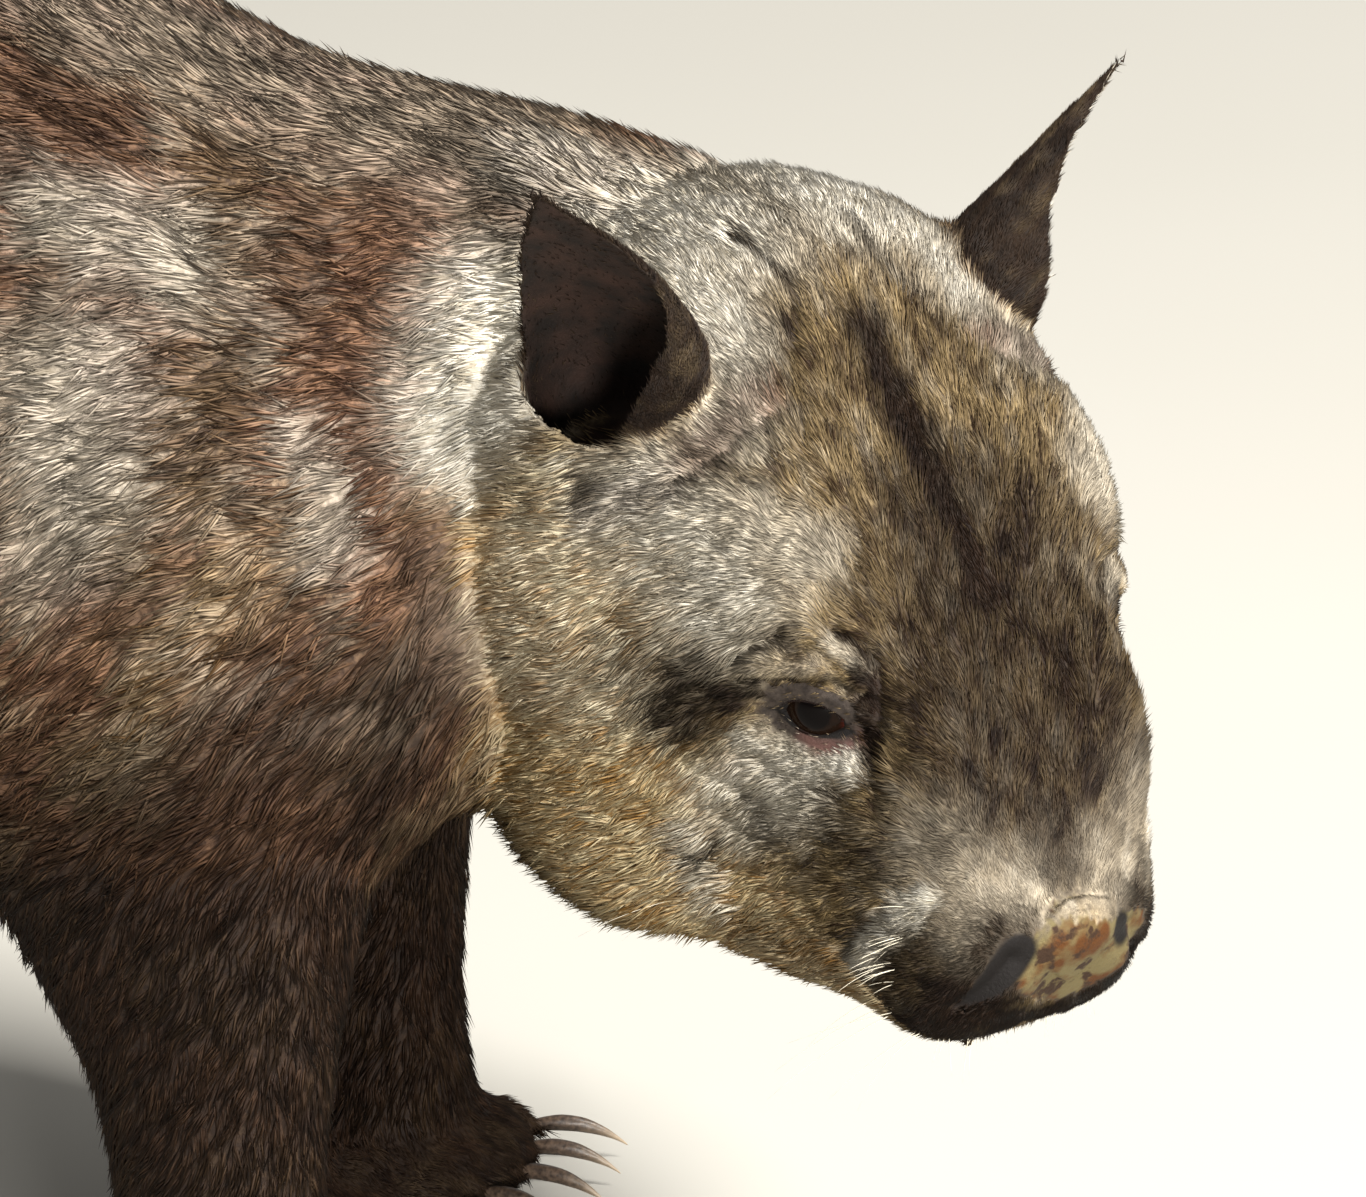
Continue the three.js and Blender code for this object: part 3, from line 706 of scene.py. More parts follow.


# Markings, painted shade and painted light in the folded head or body frame, under what they shift: how
# strongly, their half width, their line

HEAD_MARKS = {
    "dark": [
        (0.6, 9.0, [(6, 0, 54), (33, 0, 42), (62, 0, 30)]),
        (1.0, 8.5, [(4, 0, 55), (17, 0, 48), (33, 0, 42), (47, 0, 37), (64, 0, 29)]),
        (0.86, 30, [(52, 2, 34), (66, 5, 28), (80, 9, 20), (91, 11, 13)]),
        (0.6, 14, [(57, 24, 34), (72, 26, 26), (86, 27, 14)]),
        (0.42, 20, [(9, 26, 51)]),
        # This line and the next are painted shade in creases, on the crown and in front of the ear.
        (0.85, 2.2, [(-31, 15, 58), (-18, 14, 59), (-10.7, 13, 58.5), (0, 19.5, 55)]),
        (0.7, 3.6, [(12, 42, 47), (16, 50, 42), (13, 61, 30)]),
        (0.8, 5.0, [(2.4, 66, 24.7)]),
        (0.8, 2.0, [(-7, 71.7, 15.6), (-3, 73, 11)]),
        (0.55, 9.0, [(33, 66.6, 2.6)]),
        (0.92, 11, [(48, 60, 2), (47, 61, -6)]),
        (0.95, 2.6, [(7.3, 76.3, -21)]),
        (0.97, 4.2, [(57.5, 51, 9.0), (55.4, 53.1, 6.7), (53, 54.4, 1.5)]),
        # These four lines are painted shade in the creases round the eye and along the brow.
        (0.85, 1.3, LID_CREASE),
        (0.85, 2.0, OUTER_CREASE),
        (0.9, 1.7, BROW_CREASE),
        (1.0, 4.2, [(69, 37.5, 21.5), (75.5, 37.4, 17.8), (79.6, 38.8, 12.9), (81, 39.5, 10)]),
        (0.5, 5.0, [(70.1, 44.2, -24.2), (64.6, 45.7, -18)]),
        # Painted shade in a crease of the cheek.
        (0.85, 1.9, [(60.2, 47.2, -33), (60.2, 47.2, -41)]),
        (0.6, 5.5, [(100.6, 9.1, 7.7)]),
        (0.9, 8.0, [(104, 4, 5), (107.1, 3, 3), (113.1, 1.2, -1.9)]),
        (0.5, 8.0, [(97.6, 38.5, -11.8), (88, 41, -8)]),
        # Painted shade in the crease behind the whisker pad.
        (0.85, 2.6, [(99.5, 38.4, -22), (97, 39, -34)]),
        (1.0, 13, [(124, 19, -17), (125, 22, -24), (124, 27, -28)]),
        (1.0, 11, [(122, 30, -27), (126, 23, -33), (121, 29, -37)]),
        (0.8, 12, [(115, 32, -22), (113, 34, -34)]),
        # Painted shade under the nose pad, where the upper lip is dark.
        (1.0, 7.5, [(127.9, 18, -31), (127.2, 5.6, -38), (126.5, 0, -40)]),
        (1.0, 7.5, [(125.1, 9.5, -43), (123.9, 24.7, -41), (116, 29, -44)]),
        # Painted shade where the cheek meets the neck.
        (0.7, 6, NECK_SHADE_LINE),
        (0.42, 10, JAW_EDGE),
    ],
    "pale": [
        (1.0, 18, [(-50, 56, 30), (-40, 65, 20), (-33, 70, 14)]),
        (0.8, 7, [(-33, 70, 14), (-22, 74, 5)]),
        (0.8, 22, [(-55, 22, 46), (-36, 21, 55)]),
        (0.7, 13, [(-24, 34, 55), (-6, 36, 53)]),
        (0.2, 2.6, BROW_FOLD),
        (0.35, 2.8, INNER_BROW),
        (0.75, 4.5, [(57.7, 50.5, -6), (64.8, 47, -6.3), (73.7, 44.4, -1), (78.2, 41.6, 6.5)]),
        (0.7, 12, [(69, 45, -8), (60.5, 47, -22)]),
        (0.7, 4.5, [(54.9, 50.8, -36), (66.7, 45.2, -48.7)]),
        (0.28, 12, [(104, 29, 1), (112, 22, -4)]),
        (0.3, 12, [(118, 10, -3), (118, 24, -8)]),
        (0.95, 4.0, [(107.3, 33, -10), (104, 35.5, -24), (101, 36.6, -37)]),
        (0.4, 9, [(47, 41, 38), (30, 50, 36)]),
        (0.66, 17, [(12, 66, 26), (27, 61, 26), (38, 58, 22)]),
        (0.34, 18, [(5, 73, 6), (9.7, 77, -13.6), (30, 66, -4)]),
        (0.35, 12, [(2, 46, 50), (12, 44, 47)]),
        (0.6, 2.6, [(-7.3, 68, 26)]),
    ],
    "tan": [
        (1.0, 21, [(-4, 77, -7), (8, 76, -9), (4, 73, 8), (19, 70, 7)]),
        (0.88, 16, [(2, 72, -40), (18, 65.5, -54), (39, 61, -58), (60, 50, -54), (77, 40.5, -50)]),
        (1.0, 10, [(68.4, 42.4, -58), (86.9, 36.2, -51), (102.3, 30.7, -49)]),
        (0.85, 26, [(38, 65, -20), (36, 62, -34)]),
    ],
    "red": [
        (0.9, 5.0, [(10, 33, 50), (15, 48, 43), (13.6, 60.5, 31), (5, 67, 22)]),
        (0.6, 4.0, [(58.5, 48.7, -14.5)]),
        (1.0, 3.0, [(69, 45, 3.5), (73.2, 43.1, 6.4), (76.5, 40.6, 11.2)]),
        # The reddish fur under the painted shade where the cheek meets the neck.
        (0.85, 6, NECK_SHADE_LINE),
        (0.25, 9, JAW_EDGE),
    ],
}
BODY_MARKS = {
    "dark": [
        # Painted shade, on reddish fur, in the fold behind the cheek.
        (0.7, 14, [(234, 68, 215), (238, 67, 199), (239, 66, 184), (235, 69, 172)]),
        (0.35, 60, [(120, 60, 300), (20, 70, 300)]),
        (0.6, 8, [(192, 61, 264), (187, 74, 251)]),
        (0.5, 9, [(143, 45, 304)]),
        # These three lines are painted shade low on the shoulder, under the head.
        (0.65, 8, [(237, 68, 190), (235, 64, 165), (225, 58, 142)]),
        (0.75, 34, [(222, 80, 178), (200, 98, 165), (170, 105, 150)]),
        (0.9, 17, [(236, 77, 192), (232, 78, 172), (226, 74, 155)]),
    ],
    "pale": [
        (0.5, 15, [(146, 62, 289), (172, 58, 279)]),
        (0.5, 19, [(158, 87, 257), (165, 97, 238)]),
        (0.45, 8, [(205, 71, 250), (214, 74, 238), (217, 79, 226)]),
        (0.6, 12, [(236, 4, 296), (270, 1, 286)]),
        (0.35, 14, [(152, 104, 219)]),
        # Painted sheen along the top of the back.
        (0.25, 22, [(228, 6, 297), (150, 8, 311), (40, 6, 326), (-120, 6, 326)]),
    ],
    "tan": [
        (0.55, 22, [(188, 103, 213), (176, 108, 188)]),
    ],
    "red": [
        (0.95, 20, [(131, 57, 302), (122, 70, 296)]),
        (0.85, 13, [(201, 34, 284), (196, 52, 272)]),
        (0.95, 16, [(235, 68, 217), (239, 67, 199), (240, 66, 184), (237, 69, 174)]),
        (0.9, 26, [(212, 95, 193), (203, 98, 166)]),
    ],
}
MARK_KINDS = tuple(HEAD_MARKS)

# How pale the painted rim light makes the rims of the left and the right ear
EAR_RIM_LIGHT = (0.8, 0.1)

# The head's markings reach this far round its middle
HEAD_MIDDLE = np.array([15.0, 0, -5])
HEAD_SIZE = np.array([75.0, 72, 62])


def paint(found, marks, tree, to_frame, from_frame, points, strength):
    """Raises each stored shift along its marks, whose lines are first laid on the skin of the right side."""
    folded = one_side(to_frame(points))
    for kind in MARK_KINDS:
        for amount, width, line in marks[kind]:
            on_right = np.array(line) * [1, -1, 1]
            on_skin = one_side(to_frame(nearest_points(tree, from_frame(on_right))))
            near = smoothstep(width * 1.6, width * 0.3, distance_to_line(folded, on_skin))
            found[kind] = np.maximum(found[kind], amount * near * strength)


def markings_and_painted_light(tree, points, normals, shares):
    """The four stored shifts of the coat's colour at each point: darker, paler, golden and reddish. They
    carry the markings, and also painted shade low on the body, in creases, folds and under the nose, and
    painted rim light on the ears and sheen on the back.
    """
    ragged = points + np.stack([cloud(points, 10, shift) for shift in (0, 2, 4)], axis=1) * 1.6
    body = to_body(points)
    from_middle = np.linalg.norm((to_head(points) - HEAD_MIDDLE) / HEAD_SIZE, axis=1)
    from_middle += 0.1 * cloud(points, 16, 2)
    on_head = np.maximum(shares["head"] + shares["nose"], smoothstep(1.45, 0.95, from_middle))
    on_head = np.clip(on_head - shares["ear"], 0, 1)
    trunk = np.clip(1 - on_head - shares["ear"], 0, 1)
    # Painted shade: the coat grows darker towards the bottom of the body and on the legs, feet and tail, is
    # warmed with tan low down, and keeps its pale flecks to the upper body.
    low = smoothstep(235, 130, body[:, 2])
    legs = shares["foreleg"] + shares["hindleg"]
    feet = shares["forefoot"] + shares["hindfoot"]
    patches = smoothstep(-0.35, 0.55, cloud(points, 62, 1) + 0.4 * cloud(points, 21, 8))
    shade = np.clip(0.8 * low + 0.4 * legs + 0.75 * feet + 0.4 * shares["tail"], 0, 0.93)
    found = {
        "dark": trunk * np.maximum(0.2 + 0.34 * smoothstep(0, 0.8, cloud(points, 24, 5)), shade),
        "pale": trunk * (1 - low) * (0.03 + 0.25 * patches * smoothstep(-0.4, 0.7, cloud(points, 17, 3))),
        "tan": trunk * 0.3 * low * (1 - legs),
        "red": trunk * (0.45 + 0.5 * (1 - patches)),
    }
    paint(found, HEAD_MARKS, tree, to_head, from_head, ragged, np.clip(on_head + 0.8 * shares["neck"], 0, 1))
    broad = points + np.stack([cloud(points, 19, shift) for shift in (1, 3, 5)], axis=1) * 5
    off_head = 1 - shares["head"] - shares["nose"] - shares["ear"]
    paint(found, BODY_MARKS, tree, to_body, from_body, broad, off_head)
    streaks = on_head * (0.16 * cloud(points, 13, 7) + 0.12 * cloud(points, 5, 9))
    found["dark"] = found["dark"] + np.maximum(streaks, 0) + trunk * 0.12 * np.maximum(cloud(points, 8, 2), 0)
    found["pale"] = found["pale"] + np.maximum(-streaks, 0) * 0.7
    ear = smoothstep(0.3, 0.7, shares["ear"])
    facing = ear_facing(points, normals)
    # Painted rim light: the edges of each ear are paler, strongly on the left ear and faintly on the right.
    rim_light = ear * np.exp(-(facing / 0.2) ** 2) * np.where(to_head(points)[:, 1] > 0, *EAR_RIM_LIGHT)
    found["dark"] = mix(found["dark"], 1.0 + 0.12 * cloud(points, 14, 6) - rim_light, ear)
    found["pale"] = mix(found["pale"], 0.03 + 0.8 * rim_light, ear)
    return np.clip(np.stack([found[kind] for kind in MARK_KINDS], axis=1), 0, 1)


# The middle line of the ear, from the floor of its cup in the head to its tip
EAR_MIDDLE = np.array([(-13, 47, 18), (-13.5, 53, 40), (-18, 62, 57), (-31.6, 86, 86)])


def ear_facing(points, normals):
    """How far the skin faces the middle line of its ear: 1 inside the cup, -1 on its outside."""
    folded, mirror = laid_left(points)
    facing = normals @ HEAD_AXES * mirror
    nearest = np.full(len(points), np.inf)
    found = np.zeros(len(points))
    for share in np.linspace(0, 1, 25):
        place = np.array([np.interp(share * 3, range(4), EAR_MIDDLE[:, axis]) for axis in range(3)])
        offset = place - folded
        distance = np.linalg.norm(offset, axis=1)
        closer = distance < nearest
        found = np.where(closer, np.sum(offset * facing, axis=1) / np.maximum(distance, 1e-6), found)
        nearest = np.minimum(nearest, distance)
    return found


def ear_inside(points, normals, ear_share):
    """The inside of each cup, down to its floor in the head."""
    to_floor = distance_to_line(one_side(to_head(points)), EAR_MIDDLE[:2])
    walls = smoothstep(0.2, 0.5, ear_share) * smoothstep(0.0, 0.35, ear_facing(points, normals))
    return np.maximum(walls, smoothstep(13, 10, to_floor))


# The nose pad from the front: its middle, its half width, its rise at either side of the head and its drop
PAD_MIDDLE = (3.0, -18.5)
PAD_HALF_WIDTH = 21.0
PAD_RISES = (11.0, 7.4)
PAD_DROP = 15.0


def pad_distance(points):
    """How far each point lies from the middle of the nose pad: below 1 on the pad, above 1 beyond it."""
    head_points = to_head(points)
    across, up = head_points[:, 1] - PAD_MIDDLE[0], head_points[:, 2] - PAD_MIDDLE[1]
    narrowing = mix(1.0, 0.62, smoothstep(0, PAD_DROP, -up))
    top = mix(*PAD_RISES, smoothstep(-4, 12, head_points[:, 1]))
    rise = up / np.where(up > 0, top, PAD_DROP)
    distance = np.hypot(across / (PAD_HALF_WIDTH * narrowing), rise) + 0.07 * cloud(points, 4, 3)
    return np.where(head_points[:, 0] > 108, distance, 9)


def nostril_distance(points):
    """How far each point lies from a nostril. The left one is pinched, and the right one opens outwards."""
    head_points = to_head(points)
    on_left = head_points[:, 1] > 0
    folded = one_side(head_points)
    folded[:, 1] -= np.where(on_left, 0, NOSTRIL_FLARE)
    return distance_to_line(folded, NOSTRIL_LINE) + 1.5 * on_left


def bare_lids(outside, up):
    """The share of bare skin round the eye, which reaches further over the upper lid than the lower."""
    reach = mix(2.6, 4.4, smoothstep(-3, 1, up))
    return smoothstep(reach, reach - 1.4, outside)


def bareness(points, normals, shares):
    """The shares of nose pad, cup of the ear, wet edge and bare lid at each point. The wet edge is painted
    near black: painted shade in the nostrils, along the mouth and inside the eye's opening.
    """
    folded = one_side(to_head(points))
    outside, up = beside_opening(folded)
    nostril = smoothstep(5.6, 3.8, nostril_distance(points))
    mouth = smoothstep(1.8, 0.5, distance_to_line(folded, MOUTH_LINE))
    # Painted shade: the nostrils, the line of the mouth and the skin inside the eye's opening are made near
    # black.
    wet = np.maximum.reduce([smoothstep(0.0, -0.4, outside), nostril, mouth])
    lids = bare_lids(outside, up)
    pad = smoothstep(1.05, 0.93, pad_distance(points))
    return np.stack([pad, ear_inside(points, normals, shares["ear"]), wet, lids], axis=1)


def store(mesh, name, values):
    attribute = mesh.attributes.new(name, "FLOAT_COLOR", "POINT")
    attribute.data.foreach_set("color", values.astype(np.float32).ravel())


# The coat

def lie_of_coat(points, normals, shares, edges):
    """The direction that the hair points at each vertex, along the skin."""
    folded, mirror = laid_left(points)
    side = mirror[:, 1]
    cheek = smoothstep(30, 62, folded[:, 1]) + smoothstep(5, -40, folded[:, 2])
    ones = np.ones(len(points))
    on_head = np.stack([-ones, 0.25 * side * (folded[:, 1] > 8), -1.25 * np.clip(cheek, 0, 1)], axis=1)
    on_head = unit(on_head) @ HEAD_AXES.T
    flank = np.abs((normals @ BODY_AXES)[:, 1])
    on_body = unit(np.stack([-ones, 0 * ones, -0.15 - 0.5 * flank], axis=1))
    down = np.tile([-0.35, 0.0, -1.0], (len(points), 1))
    forward = np.tile([1.0, 0.0, -0.35], (len(points), 1))
    back = np.tile([-1.0, 0.0, -0.9], (len(points), 1))
    ear_up = np.stack([-0.25 * ones, 0.5 * side, 0.85 * ones], axis=1) @ HEAD_AXES.T
    leg = shares["foreleg"] + shares["hindleg"]
    foot = shares["forefoot"] + shares["hindfoot"]
    lie = on_head * (shares["head"] + shares["nose"])[:, None] + ear_up * shares["ear"][:, None]
    lie += (on_body @ BODY_AXES.T) * (shares["torso"] + shares["neck"])[:, None]
    lie += (down @ BODY_AXES.T) * leg[:, None] + (forward @ BODY_AXES.T) * foot[:, None]
    lie += (back @ BODY_AXES.T) * shares["tail"][:, None]
    lie = blurred(lie, edges, 10)
    lie -= normals * np.sum(lie * normals, axis=1, keepdims=True)
    return unit(lie)


HAIR_LENGTH = {"torso": 11.0, "neck": 9.0, "head": 5.4, "nose": 1.4, "tail": 8.0, "ear": 2.6,
               "foreleg": 8.5, "forefoot": 4.5, "hindleg": 9.5, "hindfoot": 4.5}


def hair_length(points, shares):
    """The length of the tufts: short on the face, shortest at the eyes, nose and lips."""
    folded = one_side(to_head(points))
    length = sum(HAIR_LENGTH[kind] * share for kind, share in shares.items())
    head = shares["head"] + shares["nose"]
    cheek = smoothstep(50, 74, folded[:, 1]) + smoothstep(-25, -55, folded[:, 2])
    length += head * np.clip(cheek, 0, 1) * 2.6 * smoothstep(100, 70, folded[:, 0])
    to_nose = np.linalg.norm(folded - NOSE_TIP, axis=1)
    length *= mix(0.42, 1, smoothstep(16, 62, to_nose))
    to_eye = np.linalg.norm(folded - EYE_AT - EYE_GAZE * 11, axis=1)
    return length * mix(0.36, 1, smoothstep(9, 24, to_eye))


def hairless(points, normals, shares):
    """Where no tufts grow: on the eyes, lids, nose pad, nostrils and lips, in the ears and on the soles."""
    folded = one_side(to_head(points))
    outside, up = beside_opening(folded)
    bare = 0.97 * bare_lids(outside, up)
    bare = np.maximum(bare, smoothstep(1.08, 0.95, pad_distance(points)))
    bare = np.maximum(bare, smoothstep(5.2, 4.0, nostril_distance(points)))
    bare = np.maximum(bare, smoothstep(1.6, 0.9, distance_to_line(folded, MOUTH_LINE)))
    bare = np.maximum(bare, 0.96 * smoothstep(0.3, 0.7, ear_inside(points, normals, shares["ear"])))
    sole = smoothstep(4, 1.5, points[:, 2])
    return np.maximum(bare, sole)


def scattered(points, corners, density):
    """Random places spread evenly by density: the triangle of each, and the weights of its corners."""
    a, b, c = (points[corners[:, i]] for i in range(3))
    area = np.linalg.norm(np.cross(b - a, c - a), axis=1) / 2
    expected = np.cumsum(area * density[corners].mean(axis=1))
    count = int(expected[-1])
    steps = (np.arange(count) + chance.uniform(0, 1, count)) * (expected[-1] / count)
    chosen = np.minimum(np.searchsorted(expected, steps), len(corners) - 1)
    first, second = chance.uniform(0, 1, (2, count))
    root = np.sqrt(first)
    return chosen, np.stack([1 - root, root * (1 - second), root * second], axis=1)


# A tuft is a closed spike of four corners, with a patch of the UV map to itself
PATCH = 0.003
TUFT_SINKS = 0.35
TUFT_RIDGE = 0.55
TUFT_FACES = np.array([[0, 1, 2], [0, 3, 1], [1, 3, 2], [2, 3, 0]])
TUFT_CORNERS_UV = np.array([[-0.5, -0.5], [0.5, -0.5], [0.0, -0.2], [0.0, 0.5]]) * PATCH


def tuft_mesh(name, tufts, coat):
    """Closed, three-sided spikes joined in one mesh, each lying along the skin from its sunken root."""
    root, normal, lie = tufts["root"], tufts["normal"], tufts["lie"]
    length, width, lift = tufts["length"][:, None], tufts["width"][:, None], tufts["lift"][:, None]
    across = unit(np.cross(lie, normal))
    base = root - normal * TUFT_SINKS
    corners = np.stack([
        base - across * width / 2,
        base + across * width / 2,
        base + normal * width * TUFT_RIDGE,
        root + (lie * np.cos(lift) + normal * np.sin(lift)) * length,
    ], axis=1)
    count = len(root)
    mesh = bpy.data.meshes.new(name)
    faces = (np.arange(count)[:, None, None] * 4 + TUFT_FACES).reshape(-1, 3)
    mesh.vertices.add(count * 4)
    mesh.vertices.foreach_set("co", (corners * MM).ravel())
    mesh.loops.add(faces.size)
    mesh.loops.foreach_set("vertex_index", faces.ravel())
    mesh.polygons.add(len(faces))
    mesh.polygons.foreach_set("loop_start", np.arange(len(faces)) * 3)
    mesh.update(calc_edges=True)
    hair = np.zeros((count, 4, 4))
    hair[:, :, 0] = [0.0, 0.0, 0.1, 1.0]
    hair[:, :, 1] = tufts["speck"][:, None]
    store(mesh, "hair", hair.reshape(-1, 4))
    store(mesh, "markings_and_painted_light", np.repeat(tufts["markings_and_painted_light"], 4, axis=0))
    places = (tufts["unwrapped"][:, None, :] + TUFT_CORNERS_UV)[:, TUFT_FACES.ravel(), :]
    mesh.uv_layers.new(name="OFBake").data.foreach_set("uv", places.ravel())
    mesh.materials.append(coat)
    return mesh


# Four triangles each, so a piece stays under 200,000
MOST_TUFTS = 49000

BODY_COVER, HEAD_COVER = 1.9, 3.0

# The legs end below this height, and the forebody starts this far forward
LEG_HEIGHT, FOREBODY = 118, 20

# The heights of the lines that the coat is wound off for its UV map
HEAD_SPINE, BODY_SPINE = -10, 190


def wound_off(places, spine):
    """Places on a sheet wound off the skin: the angle about a level spine, and the way along it."""
    return np.stack([np.arctan2(places[:, 1], places[:, 2] - spine), places[:, 0]], axis=1)


def fitted(places):
    """The places stretched over the square of the UV map, but for a narrow border."""
    low, high = places.min(axis=0), places.max(axis=0)
    return 0.01 + 0.98 * (places - low) / np.maximum(high - low, 1e-6)


def grow_coat(skin, shares, coat):
    """Roots the tufts on the skin, then joins those of each region into pieces that stay within the limit."""
    mesh = skin.data
    points, normals, edges = coordinates(mesh), vertex_normals(mesh), mesh_edges(mesh)
    corners = triangle_corners(mesh)
    length = hair_length(points, shares)
    width = 0.3 + 0.062 * length
    on_head = np.clip(shares["head"] + shares["nose"] + shares["ear"], 0, 1)
    cover = mix(BODY_COVER, HEAD_COVER, on_head) * 1
    density = cover * (1 - hairless(points, normals, shares)) / (0.5 * width * length)
    fields = np.column_stack([points, normals, lie_of_coat(points, normals, shares, edges),
                              length, width, on_head, *shares.values()])
    chosen, weights = scattered(points, corners, density)
    values = np.einsum("ni,nij->nj", weights, fields[corners[chosen]])
    root, normal, lie = values[:, :3], unit(values[:, 3:6]), unit(values[:, 6:9])
    count = len(root)
    across = np.cross(normal, lie)
    sway = np.radians(24 * cloud(root, 12, 1) + 12 * cloud(root, 5, 4))
    sway = sway + chance.normal(0, math.radians(7), count)
    lie = unit(lie * np.cos(sway)[:, None] + across * np.sin(sway)[:, None])
    head_share = values[:, 11]
    root_shares = dict(zip(shares, values[:, 12:].T))
    lift = np.radians(mix(10, 15, head_share)) * (1 + 0.4 * cloud(root, 9, 2))
    patches = 0.3 * cloud(root, 6, 6) + 0.2 * cloud(root, 15, 3)
    tufts = {
        "root": root, "normal": normal, "lie": lie,
        "length": values[:, 9] * chance.uniform(0.72, 1.22, count),
        "width": values[:, 10] * chance.uniform(0.75, 1.25, count),
        "lift": lift + chance.normal(0, 0.04, count),
        "markings_and_painted_light": markings_and_painted_light(tree_of(mesh), root, normal, root_shares),
        "speck": np.clip(0.5 + 0.15 * chance.normal(size=count) + patches, 0, 1),
    }
    on_body = to_body(root)
    is_head = head_share > 0.5
    is_low = (on_body[:, 2] < LEG_HEIGHT) & ~is_head
    is_front = on_body[:, 0] > FOREBODY
    sheets = np.where(is_head[:, None], wound_off(to_head(root), HEAD_SPINE), wound_off(on_body, BODY_SPINE))
    regions = {
        "coat_head": is_head,
        "coat_legs": is_low,
        "coat_front": ~is_head & ~is_low & is_front,
        "coat_rear": ~is_head & ~is_low & ~is_front,
    }
    pieces = []
    for region, is_here in regions.items():
        here = np.flatnonzero(is_here)
        here = here[np.argsort(sheets[here, 0], kind="stable")]
        for number, group in enumerate(np.array_split(here, math.ceil(len(here) / MOST_TUFTS)), 1):
            chosen_tufts = {key: value[group] for key, value in tufts.items()}
            chosen_tufts["unwrapped"] = fitted(sheets[group])
            name = f"{region}_{number}"
            pieces.append(new_object(name, tuft_mesh(name, chosen_tufts, coat)))
    return pieces


# Whiskers and lashes: round strands that taper to a point

def strands(name, paths, radius, sides, material):
    """A round strand along each path of points, closed at its root and pointed at its tip."""
    made = bmesh.new()
    for path in paths:
        points = [Vector(point * MM) for point in path]
        rings = []
        for i, point in enumerate(points[:-1]):
            heading = (points[i + 1] - points[max(i - 1, 0)]).normalized()
            turned = heading.to_track_quat("Z", "Y").to_matrix()
            size = radius * MM * (1 - 0.85 * i / (len(points) - 1))
            ring = [made.verts.new(point + turned @ Vector((size * math.cos(a), size * math.sin(a), 0)))
                    for a in np.arange(sides) * 2 * math.pi / sides]
            rings.append(ring)
        tip = made.verts.new(points[-1])
        made.faces.new(rings[0][::-1])
        for low, high in zip(rings[:-1], rings[1:]):
            for i in range(sides):
                j = (i + 1) % sides
                made.faces.new((low[i], low[j], high[j], high[i]))
        for i in range(sides):
            made.faces.new((rings[-1][i], rings[-1][(i + 1) % sides], tip))
    return smooth_piece(name, finished(made, name), material)


def curved_path(start, heading, droop, length, steps=7):
    share = np.linspace(0, 1, steps)[:, None]
    return start + unit(heading) * share * length + droop * share ** 2 * length


HAIR_RADIUS = 0.13
RIM_RADIUS = 0.5

# How far from the eye's middle the lashes are rooted
LASH_ROOT = 12.6

# Beds of whiskers in the folded head frame: the middle and spread, and the hairs' heading, number and lengths
WHISKER_BEDS = [
    ((107.5, 34, -23), (3.5, 2, 11), (-0.5, 0.6, -0.6), 26, (5, 11)),
    ((112, 27, -47), (9, 5, 2), (-0.45, 0.45, -0.9), 6, (18, 33)),
    ((122, 14, -45), (3, 10, 1), (0.35, 0.25, -0.9), 9, (4, 9)),
    ((62, 48, -54), (2, 1, 2), (-0.5, 0.4, -0.8), 2, (24, 30)),
]


def whisker_paths(skin):
    tree = tree_of(skin.data)
    paths = []
    for middle, spread, heading, count, (shortest, longest) in WHISKER_BEDS:
        for side in (1, -1):
            mirror = np.array([1, side, 1])
            for _ in range(count):
                place = (np.array(middle) + chance.uniform(-1, 1, 3) * spread) * mirror
                root = nearest_points(tree, [from_head(place)])[0]
                way = (np.array(heading) + chance.normal(0, 0.16, 3)) * mirror @ HEAD_AXES.T
                droop = np.array([0, 0, -0.22]) + chance.normal(0, 0.08, 3)
                length = chance.uniform(shortest, longest)
                paths.append(curved_path(root - unit(way) * 0.6, way, droop, length))
    return paths


def lash_paths():
    """Short lashes, rooted along the upper edge of each opening."""
    paths = []
    places = np.linspace(-7.5, 7.0, 22)
    roots = EYE_AT + unit(EYE_GAZE * EYE_RADIUS + lid_arc(UPPER_RISE, 1, places)) * LASH_ROOT
    for side in (1, -1):
        mirror = np.array([1, side, 1])
        for across, root in zip(places, roots):
            way = EYE_GAZE * 0.8 + EYE_UP * 0.7 + EYE_ACROSS * (0.05 * across + chance.normal(0, 0.12))
            start = from_head(root * mirror)
            heading = way * mirror @ HEAD_AXES.T
            paths.append(curved_path(start, heading, np.array([0, 0, -0.45]), chance.uniform(1.5, 2.6), 5))
    return paths


# Eyes and claws

def rim_paths():
    """The wet edges of the lids, which run round each opening."""
    paths = []
    across = np.linspace(-0.5, 0.5, 25) * FISSURE_LENGTH
    for side in (1, -1):
        for rise, way in ((UPPER_RISE, 1), (LOWER_RISE, -1)):
            places = lid_arc(rise, way, across)
            out = np.sqrt((EYE_RADIUS + 1) ** 2 - np.sum(places ** 2, axis=1))
            on_ball = unit(places + np.outer(out, EYE_GAZE)) * (EYE_RADIUS + 0.55)
            paths.append(from_head((EYE_AT + on_ball) * [1, side, 1]))
    return paths


# How nearly straight out of the eye its pupil, iris and cornea end, and how far the cornea swells
PUPIL_EDGE, IRIS_EDGE, CORNEA_EDGE = 0.93, 0.72, 0.78
CORNEA_SWELL = 0.05


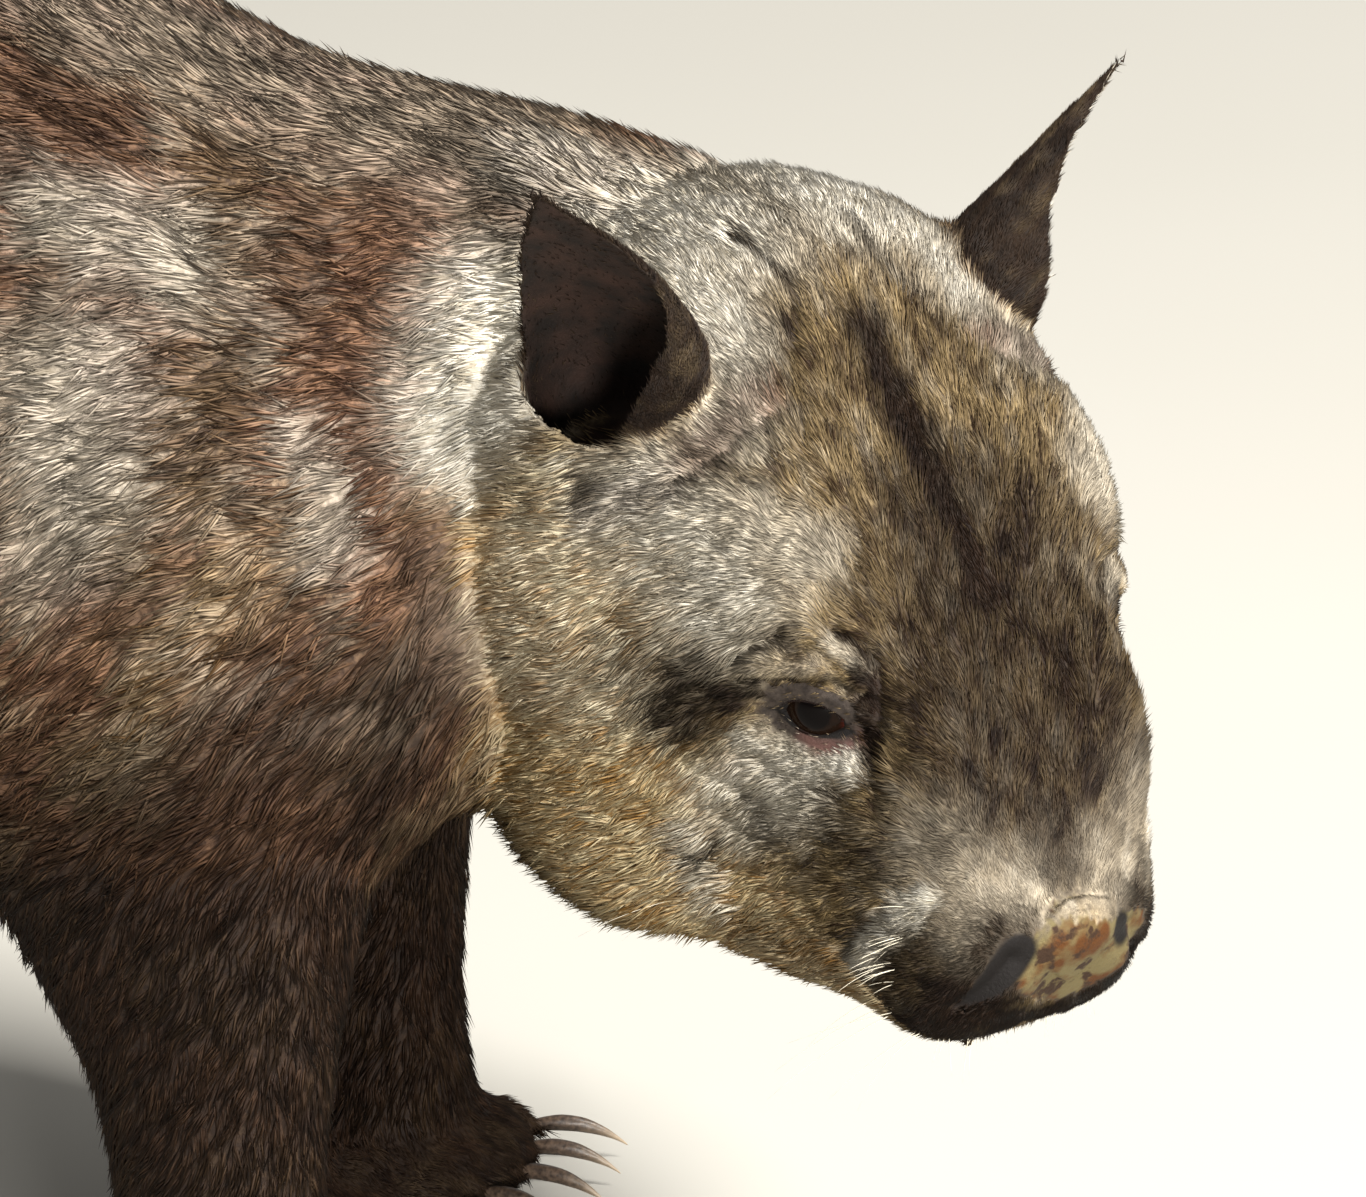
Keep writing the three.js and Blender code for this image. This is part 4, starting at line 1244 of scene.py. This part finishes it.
def make_eye(name, side, material):
    """A smooth ball with the cornea swelling a little where it looks."""
    made = bmesh.new()
    bmesh.ops.create_uvsphere(made, u_segments=64, v_segments=40, radius=EYE_RADIUS * MM)
    gaze = Vector(EYE_GAZE * [1, side, 1] @ HEAD_AXES.T)
    across = Vector(EYE_ACROSS * [1, side, 1] @ HEAD_AXES.T)
    turned = gaze.to_track_quat("Z", "Y").to_matrix().to_4x4()
    bmesh.ops.transform(made, matrix=turned, verts=made.verts)
    values = []
    for vert in made.verts:
        direction = vert.co.normalized()
        facing = direction.dot(gaze)
        vert.co *= 1 + CORNEA_SWELL * max(0.0, (facing - CORNEA_EDGE) / (1 - CORNEA_EDGE))
        corner = smoothstep(0.52, 0.68, direction.dot(across))
        values.append((facing > PUPIL_EDGE, facing > IRIS_EDGE, corner, 1))
    bmesh.ops.translate(made, verts=made.verts, vec=Vector(from_head(EYE_AT * [1, side, 1]) * MM))
    mesh = finished(made, name)
    store(mesh, "eye", np.array(values))
    return smooth_piece(name, mesh, material)


CLAW_ROOT_DEPTH = 4.5
CLAW_ROOT_DROP = 0.4


def make_claw(node, material):
    """The claw's own solid, with its root drawn back into the toe and its facets rounded off."""
    made = bmesh.new()
    made.from_mesh(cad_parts[node].data)
    bmesh.ops.remove_doubles(made, verts=made.verts, dist=1e-5)
    places = [-vert.co.y for vert in made.verts]
    low, high = min(places), max(places)
    for vert in made.verts:
        share = (-vert.co.y - low) / (high - low)
        vert.co.y += CLAW_ROOT_DEPTH * MM * (1 - share) ** 1.5
        vert.co.z -= CLAW_ROOT_DROP * MM * (1 - share)
    mesh = finished(made, node)
    rows = coordinates(mesh)
    share = (rows[:, 1].max() - rows[:, 1]) / np.ptp(rows[:, 1])
    store(mesh, "claw", np.stack([smoothstep(0.6, 1.0, share)] * 4, axis=1))
    piece = smooth_piece(f"horn_{node}", mesh, material)
    rounding = piece.modifiers.new("rounding", "SUBSURF")
    rounding.levels = 2
    rounding.render_levels = 2
    return piece


# Putting the animal together

aim = add_camera()
add_studio(aim)

skin, shares = make_skin()
skin.data.materials.append(animal_skin())
skin_points = coordinates(skin.data)
skin_normals = vertex_normals(skin.data)
store(skin.data, "markings_and_painted_light", markings_and_painted_light(tree_of(skin.data), skin_points, skin_normals, shares))
store(skin.data, "bareness", bareness(skin_points, skin_normals, shares))
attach(skin, "root")
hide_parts(*FLESH)

for piece in grow_coat(skin, shares, fur_coat()):
    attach(piece, "root")

eye_material = wet_eye()
for name, side in (("eye_left", 1), ("eye_right", -1)):
    eye = make_eye(f"{name}_ball", side, eye_material)
    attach(eye, "root")
    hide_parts(name)

horn = claw_horn()
for node in CLAWS:
    claw = make_claw(node, horn)
    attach(claw, "root")
    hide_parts(node)

whiskers = strands("whiskers", whisker_paths(skin), HAIR_RADIUS, 5, whisker_hair())
lashes = strands("lashes", lash_paths(), HAIR_RADIUS, 4, lash_hair())
rims = strands("lid_rims", rim_paths(), RIM_RADIUS, 8, eye_material)
for piece in (whiskers, lashes, rims):
    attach(piece, "root")
